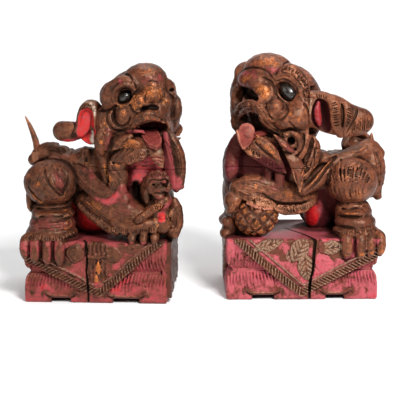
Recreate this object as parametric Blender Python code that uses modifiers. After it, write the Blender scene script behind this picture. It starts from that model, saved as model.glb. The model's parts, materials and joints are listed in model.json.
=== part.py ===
"""Pair of carved and lacquered wooden guardian lions, each on a cushion plinth.

Each lion crouches across its plinth: haunch at the outer end, head and chest
at the inner end with the face turned to the front.  It is made of a body
block and a head block glued on a level joint with two hidden dowels, tenoned
ears, inset eyes and a board tongue.  The left lion has a cub and a let-in
tail spike, the right one a brocade ball.

Statue coordinates used below, in millimetres: u runs from the middle of the
plinth towards the other statue, y runs back from the plinth front, z is up.
World units are metres, +Z up, the pair stands on z = 0 and faces -Y.
"""
import math

import bmesh
import bpy
from mathutils import Matrix, Vector

MM = 0.001
GAP = 0.3                      # clearance between neighbouring pieces

# ---------------------------------------------------------------- placement
CENTRE_X, CENTRE_Y = 8.1, 69.0      # puts the origin under the middle of the pair
LEFT_X, LEFT_Y, LEFT_YAW = -133.0 - CENTRE_X, -8.0 - CENTRE_Y, -3.0
RIGHT_X, RIGHT_Y, RIGHT_YAW = 129.4 - CENTRE_X, 8.0 - CENTRE_Y, 1.0

# ---------------------------------------------------------------- plinths
PLINTH_DEPTH = 130.0
LEFT_PLINTH_U = (-95.0, 90.5)
RIGHT_PLINTH_U = (-103.5, 95.0)
PLINTH_TOP = 81.5
LOWER_SLAB_TOP = 37.0
UPPER_SLAB_FOOT = 43.0
WAIST_INSET = 5.0
SLAB_ROUND = 4.0
FOOT_RECESS_HEIGHT = 5.0
FOOT_RECESS_DEPTH = 14.0

# ---------------------------------------------------------------- joints
SEAM_Z = 173.5                 # level glue joint between body and head
SEAM_STEP_U = -18.5            # upright shoulder of that joint
JOWL_Z, JOWL_U = 197.0, -58.0  # above this height the head block reaches further out
DOWEL_R = 6.0
DOWEL_HALF = 22.0
TENON_W, TENON_H, TENON_L = 11.0, 16.0, 16.0
# root of each ear on the side of its head, and the way it is drawn out
LEFT_OUTER_EAR = ((3.5, 30.0, 230.0), (-0.97, 0.243, 0.0))
LEFT_INNER_EAR = ((88.0, 84.0, 236.0), (-0.05, 0.999, 0.0))
RIGHT_OUTER_EAR = ((-11.0, 18.0, 246.0), (-0.985, -0.17, 0.0))
RIGHT_INNER_EAR = ((50.0, 106.0, 246.0), (-0.6, 0.8, 0.0))
EYE_R = 8.2

# ---------------------------------------------------------------- mesh detail
VOXEL = 3.0
BODY_TRIS = 3000               # whole carved mass, before it is sawn in two
EAR_TRIS = 170
CUB_TRIS = 300
BALL_TRIS = 190


def wipe():
    for ob in list(bpy.data.objects):
        bpy.data.objects.remove(ob, do_unlink=True)


wipe()
PARTS = bpy.data.collections.new("foo_dog_pair")
CUTTERS = bpy.data.collections.new("cutters")
bpy.context.scene.collection.children.link(PARTS)
bpy.context.scene.collection.children.link(CUTTERS)


def material(name, rgb, rough, metal=0.0):
    m = bpy.data.materials.new(name)
    m.use_nodes = True
    b = m.node_tree.nodes["Principled BSDF"]
    b.inputs["Base Color"].default_value = (*rgb, 1.0)
    b.inputs["Roughness"].default_value = rough
    b.inputs["Metallic"].default_value = metal
    return m


UMBER = material("umber_lacquer", (0.13, 0.062, 0.04), 0.48)
RED = material("red_lacquer", (0.42, 0.035, 0.04), 0.5)
EYE = material("eye_glaze", (0.02, 0.02, 0.02), 0.12)
BARE = material("bare_wood", (0.48, 0.27, 0.16), 0.7)
TONGUE = material("tongue_lacquer", (0.36, 0.12, 0.13), 0.5)
GILT = material("worn_gilt", (0.33, 0.16, 0.055), 0.42, 0.2)


class HeadFrame:
    """Turned and tilted axes of a head: a outwards, f forwards, c up."""

    def __init__(self, origin, yaw, pitch, roll, scale):
        y, p, r = (math.radians(v) for v in (yaw, pitch, roll))
        fwd = Vector((math.sin(y), -math.cos(y), 0))
        out = Vector((-math.cos(y), -math.sin(y), 0))
        up = Vector((0, 0, 1))
        fwd2 = fwd * math.cos(p) + up * math.sin(p)
        up2 = up * math.cos(p) - fwd * math.sin(p)
        self.out = out * math.cos(r) + up2 * math.sin(r)
        self.up = up2 * math.cos(r) - out * math.sin(r)
        self.fwd = fwd2
        self.o = Vector(origin)
        self.s = scale
        self.axes = Matrix((self.out, self.fwd, self.up)).transposed()

    def at(self, a, f, c):
        return self.o + self.s * (self.out * a + self.fwd * f + self.up * c)


LEFT_HEAD = HeadFrame((59.5, 46.0, 261.0), 17.0, 0.0, -2.0, 1.06)
RIGHT_HEAD = HeadFrame((23.0, 62.0, 262.0), 53.0, 11.0, 4.0, 1.19)


class Statue:
    """One plinth frame; sign turns u into world x."""

    def __init__(self, name, x, y, yaw, sign):
        self.name, self.sign = name, sign
        self.frame = bpy.data.objects.new(name + "_frame", None)
        self.frame.location = (x * MM, y * MM, 0)
        self.frame.rotation_euler = (0, 0, math.radians(yaw))
        CUTTERS.objects.link(self.frame)

    def vec(self, p):
        return Vector((self.sign * p[0], p[1], p[2])) * MM


class Clay:
    """Overlapping primitives of one carved piece, in statue coordinates."""

    def __init__(self):
        self.bm = bmesh.new()

    def ell(self, c, r, axes=None, seg=20):
        m = Matrix.Translation(Vector(c)) @ (axes or Matrix.Identity(3)).to_4x4() \
            @ Matrix.Diagonal((*r, 1.0))
        bmesh.ops.create_uvsphere(self.bm, u_segments=seg, v_segments=seg // 2,
                                  radius=1.0, matrix=m)

    def head_ell(self, h, c, r, both=False):
        for sgn in ((1, -1) if both else (1,)):
            self.ell(h.at(sgn * c[0], c[1], c[2]), [v * h.s for v in r], h.axes)

    def limb(self, pts, radii, seg=14):
        pts = [Vector(p) for p in pts]
        for p, r in zip(pts, radii):
            bmesh.ops.create_uvsphere(self.bm, u_segments=seg, v_segments=8, radius=r,
                                      matrix=Matrix.Translation(p))
        for p, q, r1, r2 in zip(pts, pts[1:], radii, radii[1:]):
            d = q - p
            m = Matrix.Translation((p + q) / 2) @ d.to_track_quat("Z", "Y").to_matrix().to_4x4()
            bmesh.ops.create_cone(self.bm, cap_ends=True, segments=seg, radius1=r1,
                                  radius2=r2, depth=d.length, matrix=m)

    def head_limb(self, h, pts, radii, both=False):
        for sgn in ((1, -1) if both else (1,)):
            self.limb([h.at(sgn * a, f, c) for a, f, c in pts], [r * h.s for r in radii])

    def ear_boss(self, root, out_dir, r):
        """Rounded seat on the side of the head that an ear stands against."""
        d = Vector(out_dir).normalized()
        side = Vector((0, 0, 1)).cross(d)
        self.ell(Vector(root) - d * 9, r, Matrix((d, side, Vector((0, 0, 1)))).transposed())

    def box(self, lo, hi):
        lo, hi = Vector(lo), Vector(hi)
        m = Matrix.Translation((lo + hi) / 2) @ Matrix.Diagonal((*(hi - lo), 1.0))
        bmesh.ops.create_cube(self.bm, size=1.0, matrix=m)

    def turned_box(self, c, size, x_dir):
        x = Vector(x_dir).normalized()
        z = Vector((0, 0, 1))
        y = z.cross(x)
        a = Matrix((x, y, z)).transposed().to_4x4()
        m = Matrix.Translation(Vector(c)) @ a @ Matrix.Diagonal((*size, 1.0))
        bmesh.ops.create_cube(self.bm, size=1.0, matrix=m)

    def object(self, statue, name, coll, origin=(0, 0, 0)):
        """Makes an object whose origin is at the given statue point."""
        o = Vector(origin)
        for v in self.bm.verts:
            v.co = statue.vec(v.co - o)
        if statue.sign < 0:
            bmesh.ops.reverse_faces(self.bm, faces=self.bm.faces[:])
        me = bpy.data.meshes.new(name)
        self.bm.to_mesh(me)
        self.bm.free()
        ob = bpy.data.objects.new(name, me)
        coll.objects.link(ob)
        ob.parent = statue.frame
        ob.location = statue.vec(o)
        return ob


def evaluated(ob):
    bpy.context.view_layer.update()
    return bpy.data.meshes.new_from_object(
        ob.evaluated_get(bpy.context.evaluated_depsgraph_get()))


def fuse(ob, tris, voxel=VOXEL, smooth=3):
    """Joins the primitives into one carved skin and thins it to about tris triangles."""
    m = ob.modifiers.new("fuse", "REMESH")
    m.mode = "VOXEL"
    m.voxel_size = voxel * MM
    s = ob.modifiers.new("soften", "SMOOTH")
    s.factor, s.iterations = 0.5, smooth
    me = evaluated(ob)
    me.calc_loop_triangles()
    d = ob.modifiers.new("thin", "DECIMATE")
    d.ratio = min(1.0, tris / max(1, len(me.loop_triangles)))
    d.use_collapse_triangulate = True
    bpy.data.meshes.remove(me)
    thin = evaluated(ob)
    ob.modifiers.clear()
    ob.data = thin
    return ob


def boolean(ob, other, op, solver="EXACT"):
    b = ob.modifiers.new(op.lower(), "BOOLEAN")
    b.operation, b.object, b.solver = op, other, solver
    return b


def as_cutter(ob):
    ob.hide_render = True
    ob.display_type = "WIRE"
    return ob


def grown(ob, name, by=GAP):
    """A copy swollen by the clearance, used to cut the seat of a set-in piece."""
    c = bpy.data.objects.new(name, evaluated(ob))
    c.parent = ob.parent
    c.location = ob.location
    CUTTERS.objects.link(c)
    d = c.modifiers.new("swell", "DISPLACE")
    d.strength, d.mid_level = by * MM, 0.0
    return as_cutter(c)


def finish(ob, mat, smooth=True):
    ob.data.materials.clear()
    ob.data.materials.append(mat)
    if smooth:
        ob.data.shade_smooth()
        ob.data.set_sharp_from_angle(angle=math.radians(50))


# ---------------------------------------------------------------- plinth

def plinth(statue, u_range):
    """Two rounded slabs with a waist between them and recesses between the feet."""
    u0, u1 = u_range
    slabs = []
    for tag, z0, z1 in (("lower", 0.0, LOWER_SLAB_TOP), ("upper", UPPER_SLAB_FOOT, PLINTH_TOP)):
        c = Clay()
        c.box((u0, 0, z0), (u1, PLINTH_DEPTH, z1))
        ob = c.object(statue, f"{statue.name}_{tag}_slab", CUTTERS)
        b = ob.modifiers.new("round", "BEVEL")
        b.width, b.segments = SLAB_ROUND * MM, 2
        ob.data = evaluated(ob)
        ob.modifiers.clear()
        slabs.append(as_cutter(ob))
    c = Clay()
    c.box((u0 + WAIST_INSET, WAIST_INSET, LOWER_SLAB_TOP - 6),
          (u1 - WAIST_INSET, PLINTH_DEPTH - WAIST_INSET, UPPER_SLAB_FOOT + 6))
    waist = as_cutter(c.object(statue, f"{statue.name}_waist", CUTTERS))
    for s in slabs:
        boolean(waist, s, "UNION")
    span = u1 - u0
    for k in (0.26, 0.73):
        mid = u0 + span * k
        for y0, y1 in ((-5.0, FOOT_RECESS_DEPTH),
                       (PLINTH_DEPTH - FOOT_RECESS_DEPTH, PLINTH_DEPTH + 5.0)):
            c = Clay()
            c.box((mid - 14, y0, -5), (mid + 14, y1, FOOT_RECESS_HEIGHT))
            boolean(waist, as_cutter(c.object(statue, f"{statue.name}_foot_recess", CUTTERS)),
                    "DIFFERENCE")
    return waist


# ---------------------------------------------------------------- heads

def carve_head(c, h):
    """Skull, forehead dome, brows, nose, lips, cheeks and jaw in head axes."""
    c.head_ell(h, (0, -4, 2), (39, 38, 34))
    c.head_ell(h, (0, 12, 24), (28, 25, 20))
    c.head_limb(h, [(16, 28, 18), (30, 14, 24), (43, 2, 8), (47, 2, -12)], [9, 11, 11, 9])
    c.head_limb(h, [(-16, 28, 18), (-28, 14, 22), (-35, 4, 8), (-37, 4, -12)], [9, 10, 9, 8])
    c.head_ell(h, (0, 34, 9), (14, 15, 14))
    c.head_ell(h, (15, 35, -1), (9, 9, 9), True)
    c.head_ell(h, (0, 18, -10), (30, 24, 18))
    c.head_ell(h, (30, 26, -16), (9, 9, 9), True)
    c.head_limb(h, [(0, 38, -17), (14, 34, -21), (24, 22, -34), (26, 8, -43)], [6, 6, 6, 6], True)
    c.head_ell(h, (38, 8, -26), (12, 18, 16))
    c.head_ell(h, (-33, 8, -26), (11, 18, 16))
    c.head_ell(h, (0, 6, -50), (27, 22, 9))
    c.head_ell(h, (0, -26, -14), (38, 26, 42))


def mouth_cutter(statue, h):
    c = Clay()
    c.head_ell(h, (0, 34, -34), (17, 27, 8))
    return as_cutter(c.object(statue, statue.name + "_mouth", CUTTERS))


def sawn(statue, whole, head_name, body_name, origin=(0, 0, 0)):
    """Saws the carved mass along the stepped joint into head and body blocks."""
    out = []
    for name, g, op in ((head_name, GAP / 2, "INTERSECT"), (body_name, -GAP / 2, "DIFFERENCE")):
        c = Clay()
        c.box((SEAM_STEP_U + g, -200, SEAM_Z + g), (300, 300, 500))
        region = as_cutter(c.object(statue, name + "_saw", CUTTERS))
        c = Clay()
        c.box((JOWL_U + g, -210, JOWL_Z + g), (290, 310, 510))
        boolean(region, as_cutter(c.object(statue, name + "_jowl_saw", CUTTERS)), "UNION")
        ob = bpy.data.objects.new(name, whole.data.copy())
        PARTS.objects.link(ob)
        ob.parent = statue.frame
        boolean(ob, region, op)
        out.append(ob)
    return out


def dowels(statue, centres, blocks):
    for tag, (u, y) in zip(("front", "rear"), centres):
        for k, r in (("dowel", DOWEL_R), ("dowel_hole", DOWEL_R + GAP)):
            half = DOWEL_HALF + (GAP if k == "dowel_hole" else 0)
            name = f"{statue.name}_{tag}_{k}"
            bm = bmesh.new()
            bmesh.ops.create_cone(bm, cap_ends=True, segments=16, radius1=r * MM,
                                  radius2=r * MM, depth=2 * half * MM)
            me = bpy.data.meshes.new(name)
            bm.to_mesh(me)
            bm.free()
            ob = bpy.data.objects.new(name, me)
            (PARTS if k == "dowel" else CUTTERS).objects.link(ob)
            ob.parent = statue.frame
            ob.location = statue.vec((u, y, SEAM_Z))
            if k == "dowel":
                finish(ob, BARE)
            else:
                as_cutter(ob)
                for b in blocks:
                    boolean(b, ob, "DIFFERENCE")


def eyes(statue, h, head, at=(27, 17, 7)):
    for tag, sgn in (("outer", 1), ("inner", -1)):
        for k in ("eye", "eye_seat"):
            c = Clay()
            r = EYE_R * h.s + (GAP if k == "eye_seat" else 0)
            p = h.at(sgn * at[0], at[1], at[2])
            c.ell(p, (r, r, r), h.axes, seg=12)
            ob = c.object(statue, f"{statue.name}_{tag}_{k}", PARTS if k == "eye" else CUTTERS, p)
            if k == "eye":
                finish(ob, EYE)
            else:
                boolean(head, as_cutter(ob), "DIFFERENCE")


def tongue(statue, h, head, root, tip, width, thick):
    """Pointed board: a flat outline given a thickness, laid from mouth floor to lip tip."""
    root, tip = Vector(root), Vector(tip)
    length = (tip - root).length
    name = statue.name + "_tongue"
    cu = bpy.data.curves.new(name, "CURVE")
    cu.dimensions = "2D"
    cu.fill_mode = "BOTH"
    cu.extrude = thick / 2 * MM
    sp = cu.splines.new("POLY")
    outline = [(0, -0.5), (0.55, -0.5), (0.8, -0.36), (1.0, 0.0), (0.8, 0.36), (0.55, 0.5), (0, 0.5)]
    sp.points.add(len(outline) - 1)
    for pt, (x, y) in zip(sp.points, outline):
        pt.co = (x * length * MM, y * width * MM, 0, 1)
    sp.use_cyclic_u = True
    flat = bpy.data.objects.new(name + "_outline", cu)
    CUTTERS.objects.link(flat)
    me = evaluated(flat)
    bpy.data.objects.remove(flat)
    bm = bmesh.new()
    bm.from_mesh(me)
    bmesh.ops.remove_doubles(bm, verts=bm.verts[:], dist=1e-6)
    x = (tip - root).normalized()
    y = h.out.cross(x).cross(x).normalized() * -1
    z = x.cross(y)
    a = Matrix((x, y, z)).transposed().to_4x4()
    bmesh.ops.transform(bm, matrix=Matrix.Translation(root) @ a @ Matrix.Scale(1 / MM, 4), verts=bm.verts[:])
    bmesh.ops.recalc_face_normals(bm, faces=bm.faces[:])
    c = Clay()
    c.bm.free()
    c.bm = bm
    ob = c.object(statue, name, PARTS, root)
    finish(ob, TONGUE)
    boolean(head, grown(ob, name + "_seat", GAP * 1.4), "DIFFERENCE")
    return ob


def ear(statue, tag, head, root, out_dir, cup, lobe, hollow, clear):
    """Leaf-shaped ear with a square tenon; its origin is on the slide axis at the root."""
    root, d = Vector(root), Vector(out_dir).normalized()
    side = Vector((0, 0, 1)).cross(d)
    name = f"{statue.name}_{tag}_ear"
    axes = Matrix((d, side, Vector((0, 0, 1)))).transposed()

    def at(p):
        return root + axes @ Vector(p)

    c = Clay()
    c.ell(at(cup[0]), cup[1], axes)
    c.limb([at(p) for p in lobe[0]], lobe[1])
    c.ell(at((6, 0, 0)), (8, 11, 20), axes)
    ob = fuse(c.object(statue, name, PARTS, root), EAR_TRIS, voxel=2.0, smooth=2)
    c = Clay()
    c.turned_box(at((-60 + GAP / 2, 0, 0)), (120, 200, 200), d)
    boolean(ob, as_cutter(c.object(statue, name + "_root_cut", CUTTERS)), "DIFFERENCE")
    c = Clay()
    c.turned_box(at(((12 - TENON_L) / 2, 0, 0)), (TENON_L + 12, TENON_W, TENON_H), d)
    boolean(ob, as_cutter(c.object(statue, name + "_tenon", CUTTERS)), "UNION")
    c = Clay()
    c.ell(at(hollow[0]), hollow[1], axes)
    boolean(ob, as_cutter(c.object(statue, name + "_hollow", CUTTERS)), "DIFFERENCE")
    finish(ob, UMBER)
    # the mortise, and the room that the ear slides out through
    c = Clay()
    c.turned_box(at((-TENON_L / 2 - GAP, 0, 0)), (TENON_L + 2 * GAP + 6, TENON_W + 2.4 * GAP,
                                                    TENON_H + 2.4 * GAP), d)
    boolean(head, as_cutter(c.object(statue, name + "_mortise", CUTTERS)), "DIFFERENCE")
    c = Clay()
    c.turned_box(at((60 - GAP / 2, clear[0], clear[1])), (120, clear[2], clear[3]), d)
    boolean(head, as_cutter(c.object(statue, name + "_room", CUTTERS)), "DIFFERENCE")
    return ob


# ---------------------------------------------------------------- left lion

def left_lion():
    st = Statue("left", LEFT_X, LEFT_Y, LEFT_YAW, 1)
    h = LEFT_HEAD
    c = Clay()
    # crouching body across the plinth, haunch at the outer end
    c.ell((0, 78, 146), (74, 34, 34))
    c.ell((-58, 84, 138), (37, 38, 48))
    c.ell((-65, 84, 164), (24, 28, 26))
    c.ell((-64, 36, 151.5), (36, 30, 31))
    c.ell((-62, 58, 150), (34, 34, 30))
    c.ell((-92, 58, 128), (8, 16, 22))
    # near hind leg: cuff, foot, ruff and four toes over the plinth edge
    c.ell((-61, 32, 113), (26, 26, 11))
    c.ell((-62, 30, 98), (29, 28, 15))
    c.ell((-62, 25, 86), (34, 29, 10))
    for u, low in ((-91, 56), (-79, 54), (-65, 52), (-47, 53)):
        c.limb([(u * 0.96, 16, 84), (u, -3, 76), (u, -4, low + 4)], [9, 7.5, 4.5])
    # far hind leg and belly
    c.ell((-40, 100, 116), (42, 28, 44))
    c.ell((-44, 108, 92), (34, 18, 16))
    c.ell((-14, 74, 110), (26, 26, 36))
    # chest and neck under the head block
    c.ell((56, 70, 122), (38, 36, 46))
    c.limb([(56, 66, 130), (57, 62, 172), (60, 54, 226)], [38, 36, 36])
    c.ell((-18, 68, 168), (24, 30, 27))
    # inner foreleg in its sleeve, fringe, paw
    c.limb([(-21, 48, 126), (7, 36, 121), (34, 28, 110), (58, 25, 103), (78, 26, 102)],
           [15, 18, 20, 18, 15])
    c.limb([(-24, 34, 118), (0, 24, 103), (22, 15, 93), (46, 12, 90), (78, 12, 92)],
           [8, 8, 8, 8, 8])
    for u in (48, 65, 81):
        c.limb([(u, 16, 88), (u, 0, 85)], [9, 8])
    c.ell((98, 28, 108), (13, 22, 30))
    # far foreleg
    c.limb([(58, 100, 150), (62, 104, 92)], [24, 22])
    c.ell((64, 100, 88), (30, 26, 12))
    # sash from the rump across the flank and up to the beard
    c.limb([(-81, 68, 186), (-55, 60, 180), (-35, 52, 170), (-18, 42, 158), (-1, 32, 146),
            (13, 25, 143), (24, 21, 154), (29, 21, 172), (36, 20, 190)],
           [9, 11, 11, 11, 11, 11, 11, 11, 11])
    # mane flap at the inner side
    c.limb([(94, 34, 226), (101, 38, 200), (102, 40, 172), (100, 40, 148)], [10, 11, 11, 8])
    carve_head(c, h)
    # beard locks
    c.limb([(42, 16, 212), (32, 22, 190), (28, 24, 172)], [11, 12, 12])
    c.limb([(54, 16, 206), (56, 20, 192)], [11, 10])
    c.limb([(86, 18, 206), (89, 12, 186)], [9, 6])
    c.ear_boss(*LEFT_OUTER_EAR, (16, 16, 25))
    c.ear_boss(*LEFT_INNER_EAR, (16, 15, 24))
    whole = c.object(st, "left_whole", CUTTERS)
    fuse(whole, BODY_TRIS)
    as_cutter(whole)
    head, body = sawn(st, whole, "left_head_block", "left_body_block")
    boolean(body, plinth(st, LEFT_PLINTH_U), "UNION")
    boolean(head, mouth_cutter(st, h), "DIFFERENCE")
    dowels(st, ((52, 52), (62, 84)), (head, body))
    eyes(st, h, head)
    tongue(st, h, head, h.at(0, 12, -38), (80, -8, 203), 24, 7)
    ear(st, "outer", head, *LEFT_OUTER_EAR,
        ((17, 0, 0), (15, 17, 27)), ([(22, 4, -10), (38, 8, -10), (50, 8, -10)], [12, 12, 11]),
        ((10, 16, -4), (9, 12, 19)), (0, 0, 44, 60))
    ear(st, "inner", head, *LEFT_INNER_EAR,
        ((14, 0, 0), (15, 14, 24)), ([(20, 2, -8), (34, 4, -10), (42, 4, -10)], [11, 11, 9]),
        ((10, -14, -3), (9, 10, 16)), (0, 0, 40, 56))

    # cub, held against the chest by the inner foreleg
    c = Clay()
    c.ell((76, 12, 157), (15, 15, 16))
    c.ell((80, 3, 147), (9, 9, 8))
    c.ell((80, 18, 124), (17, 15, 28))
    c.ell((68, 22, 146), (13, 13, 20))
    c.limb([(76, 8, 128), (62, 2, 116), (55, 0, 111)], [7, 6, 6])
    c.ell((84, 12, 104), (12, 12, 13))
    cub = fuse(c.object(st, "left_cub", PARTS, (80, 15, 125)), CUB_TRIS, voxel=2.0, smooth=2)
    finish(cub, UMBER)
    seat = grown(cub, "left_cub_seat")
    boolean(body, seat, "DIFFERENCE")
    boolean(head, seat, "DIFFERENCE")

    # tail spike with its foot let into the rump
    foot = Vector((-86.5, 66, 176))
    cu = bpy.data.curves.new("left_tail", "CURVE")
    cu.dimensions = "3D"
    cu.bevel_depth = 5.0 * MM
    cu.bevel_resolution = 2
    cu.use_fill_caps = True
    pts = [((-86.5, 66, 164), 1.0), (foot, 1.0), ((-87.2, 66, 192), 0.95), ((-90, 66, 207), 0.8),
           ((-95, 66, 221), 0.6), ((-101.5, 66, 235.5), 0.22)]
    sp = cu.splines.new("POLY")
    sp.points.add(len(pts) - 1)
    for pt, (p, r) in zip(sp.points, pts):
        pt.co = (*(st.vec(Vector(p) - foot)), 1)
        pt.radius = r
    tail_curve = bpy.data.objects.new("left_tail_curve", cu)
    CUTTERS.objects.link(tail_curve)
    me = evaluated(tail_curve)
    bpy.data.objects.remove(tail_curve)
    bm = bmesh.new()
    bm.from_mesh(me)
    bmesh.ops.remove_doubles(bm, verts=bm.verts[:], dist=1e-6)
    me.clear_geometry()
    bm.to_mesh(me)
    bm.free()
    tail = bpy.data.objects.new("left_tail", me)
    PARTS.objects.link(tail)
    tail.parent = st.frame
    tail.location = st.vec(foot)
    finish(tail, BARE)
    # its mortise is open upwards, so that the spike can be drawn out
    bm = bmesh.new()
    bmesh.ops.create_cone(bm, cap_ends=True, segments=16, radius1=5.5 * MM, radius2=5.5 * MM,
                          depth=60 * MM, matrix=Matrix.Translation(st.vec((0, 0, 18 - GAP))))
    me = bpy.data.meshes.new("left_tail_mortise")
    bm.to_mesh(me)
    bm.free()
    mort = bpy.data.objects.new("left_tail_mortise", me)
    CUTTERS.objects.link(mort)
    mort.parent = st.frame
    mort.location = st.vec(foot)
    boolean(body, as_cutter(mort), "DIFFERENCE")
    finish(head, UMBER)
    finish(body, UMBER)
    return st


# ---------------------------------------------------------------- right lion

def right_lion():
    st = Statue("right", RIGHT_X, RIGHT_Y, RIGHT_YAW, -1)
    h = RIGHT_HEAD
    c = Clay()
    c.ell((-6, 80, 146), (72, 34, 32))
    c.ell((-64, 84, 138), (37, 38, 48))
    c.ell((-66, 84, 158), (26, 28, 26))
    c.ell((-72, 36, 152), (34, 30, 31))
    c.ell((-70, 58, 150), (32, 34, 30))
    c.ell((-99, 58, 162), (21, 24, 37))
    c.limb([(-108, 52, 148), (-111, 50, 129)], [8, 5])
    c.ell((-75, 32, 112), (22, 24, 10))
    c.ell((-76, 30, 97), (26, 27, 14))
    c.ell((-78, 25, 86), (31, 29, 10))
    for u, low in ((-103, 60), (-93, 59), (-82, 58), (-64, 60)):
        c.limb([(u * 0.96, 16, 84), (u, -3, 76), (u, -4, low + 4)], [8.5, 7, 4.5])
    c.ell((-46, 100, 116), (40, 28, 44))
    c.ell((-50, 108, 92), (33, 18, 16))
    c.ell((-24, 76, 112), (22, 24, 36))
    # chest leaning inwards under the head
    c.ell((64, 72, 130), (34, 34, 50))
    c.limb([(58, 68, 140), (42, 66, 176), (28, 64, 226)], [36, 38, 38])
    c.ell((80, 60, 166), (15, 24, 30))
    c.ell((-30, 72, 166), (26, 30, 24))
    # inner foreleg over the ball
    c.limb([(-15, 50, 130), (10, 38, 134), (38, 29, 140), (62, 22, 144), (80, 19, 146)],
           [14, 17, 18, 16, 10])
    c.limb([(-20, 36, 122), (2, 28, 118), (28, 20, 124), (50, 15, 131), (74, 13, 139)],
           [7, 7, 7, 7, 6])
    c.ell((85, 14, 131), (11, 12, 12))
    c.limb([(66, 98, 150), (74, 100, 92)], [24, 20])
    c.ell((76, 96, 88), (26, 26, 12))
    c.ell((92, 30, 90), (9, 16, 12))
    # sash, its open scroll and its raised point
    c.limb([(-97, 64, 192), (-80, 56, 184), (-58, 50, 176), (-40, 42, 165), (-21, 33, 151),
            (-3, 25, 146), (2, 20, 160), (4, 17, 176)], [10, 11, 11, 11, 11, 10, 10, 10])
    c.ell((-84, 80, 186), (18, 15, 15))
    c.limb([(-98, 62, 190), (-100, 62, 202), (-101, 62, 213)], [8, 4.5, 1.5])
    carve_head(c, h)
    c.limb([(54, 20, 214), (36, 20, 200), (20, 20, 186)], [10, 11, 9])
    c.limb([(60, 18, 208), (64, 20, 196)], [9, 7])
    c.limb([(0, 14, 216), (2, 14, 186), (1, 16, 156)], [10, 11, 7])
    c.ear_boss(*RIGHT_OUTER_EAR, (17, 17, 26))
    c.ear_boss(*RIGHT_INNER_EAR, (17, 16, 25))
    whole = c.object(st, "right_whole", CUTTERS)
    fuse(whole, BODY_TRIS)
    as_cutter(whole)
    head, body = sawn(st, whole, "right_head_block", "right_body_block")
    c = Clay()
    c.ell((-85, 80, 200), (11, 9, 14))
    boolean(body, as_cutter(c.object(st, "right_scroll_hollow", CUTTERS)), "DIFFERENCE")
    boolean(body, plinth(st, RIGHT_PLINTH_U), "UNION")
    boolean(head, mouth_cutter(st, h), "DIFFERENCE")
    dowels(st, ((30, 52), (44, 86)), (head, body))
    eyes(st, h, head)
    tongue(st, h, head, h.at(0, 10, -38), (73, 2, 203), 24, 7)
    ear(st, "outer", head, *RIGHT_OUTER_EAR,
        ((22, 0, -2), (20, 18, 26)), ([(30, 2, -6), (52, 6, -14), (70, 8, -18)], [15, 15, 14]),
        ((12, 17, -2), (9, 12, 18)), (0, 0, 46, 62))
    ear(st, "inner", head, *RIGHT_INNER_EAR,
        ((14, 0, 0), (16, 15, 25)), ([(20, -2, -6), (34, -4, -12), (42, -4, -14)], [11, 11, 10]),
        ((10, -14, -3), (9, 10, 16)), (0, 0, 42, 58))
    # brocade ball under the paw
    c = Clay()
    c.ell((56, 21, 108), (29, 25, 26.2))
    ball = fuse(c.object(st, "right_ball", PARTS, (56, 21, 108)), BALL_TRIS, voxel=2.5, smooth=1)
    finish(ball, GILT)
    boolean(body, grown(ball, "right_ball_seat"), "DIFFERENCE")
    finish(head, UMBER)
    finish(body, UMBER)
    return st


left_lion()
right_lion()
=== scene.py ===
"""Pair of carved, lacquered guardian lions: sculpted surfaces, finishes, light and camera."""
import json
import math

import bmesh
import bpy
import numpy as np
from mathutils import Matrix, Vector

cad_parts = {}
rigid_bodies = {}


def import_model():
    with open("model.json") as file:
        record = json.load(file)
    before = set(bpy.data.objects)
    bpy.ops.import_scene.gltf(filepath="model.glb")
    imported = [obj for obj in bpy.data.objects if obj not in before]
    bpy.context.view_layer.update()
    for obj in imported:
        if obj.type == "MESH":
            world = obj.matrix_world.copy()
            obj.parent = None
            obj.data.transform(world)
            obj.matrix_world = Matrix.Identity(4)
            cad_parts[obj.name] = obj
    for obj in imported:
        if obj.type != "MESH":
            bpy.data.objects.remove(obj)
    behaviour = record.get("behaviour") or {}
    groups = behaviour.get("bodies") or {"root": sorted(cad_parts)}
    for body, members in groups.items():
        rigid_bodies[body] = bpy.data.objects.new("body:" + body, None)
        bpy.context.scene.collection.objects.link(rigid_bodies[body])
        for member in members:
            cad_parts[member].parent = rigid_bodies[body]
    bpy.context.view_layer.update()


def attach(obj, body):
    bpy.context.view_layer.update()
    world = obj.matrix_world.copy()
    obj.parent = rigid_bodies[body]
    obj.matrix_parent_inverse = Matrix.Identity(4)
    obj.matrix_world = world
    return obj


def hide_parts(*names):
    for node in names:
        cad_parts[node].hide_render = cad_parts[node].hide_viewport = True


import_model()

# ------------------------------------------------------------------ placement
# Millimetres.  Statue coordinates: u towards the other statue, y back from the
# plinth front, z up.  Picture coordinates: a 400 x 400 view of the pair.
MMPP, DIST, ELEV, AIM_Z = 1.276, 1200.0, math.radians(10.6), 134.75
CENTRE = (8.1, 69.0)
FOCAL = DIST / MMPP
CAM = np.array((0.0, -DIST * math.cos(ELEV), AIM_Z + DIST * math.sin(ELEV)))
STEP = 1.05                       # voxel of the large carvings
FINE = 0.85                       # voxel of the small ones


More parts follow.
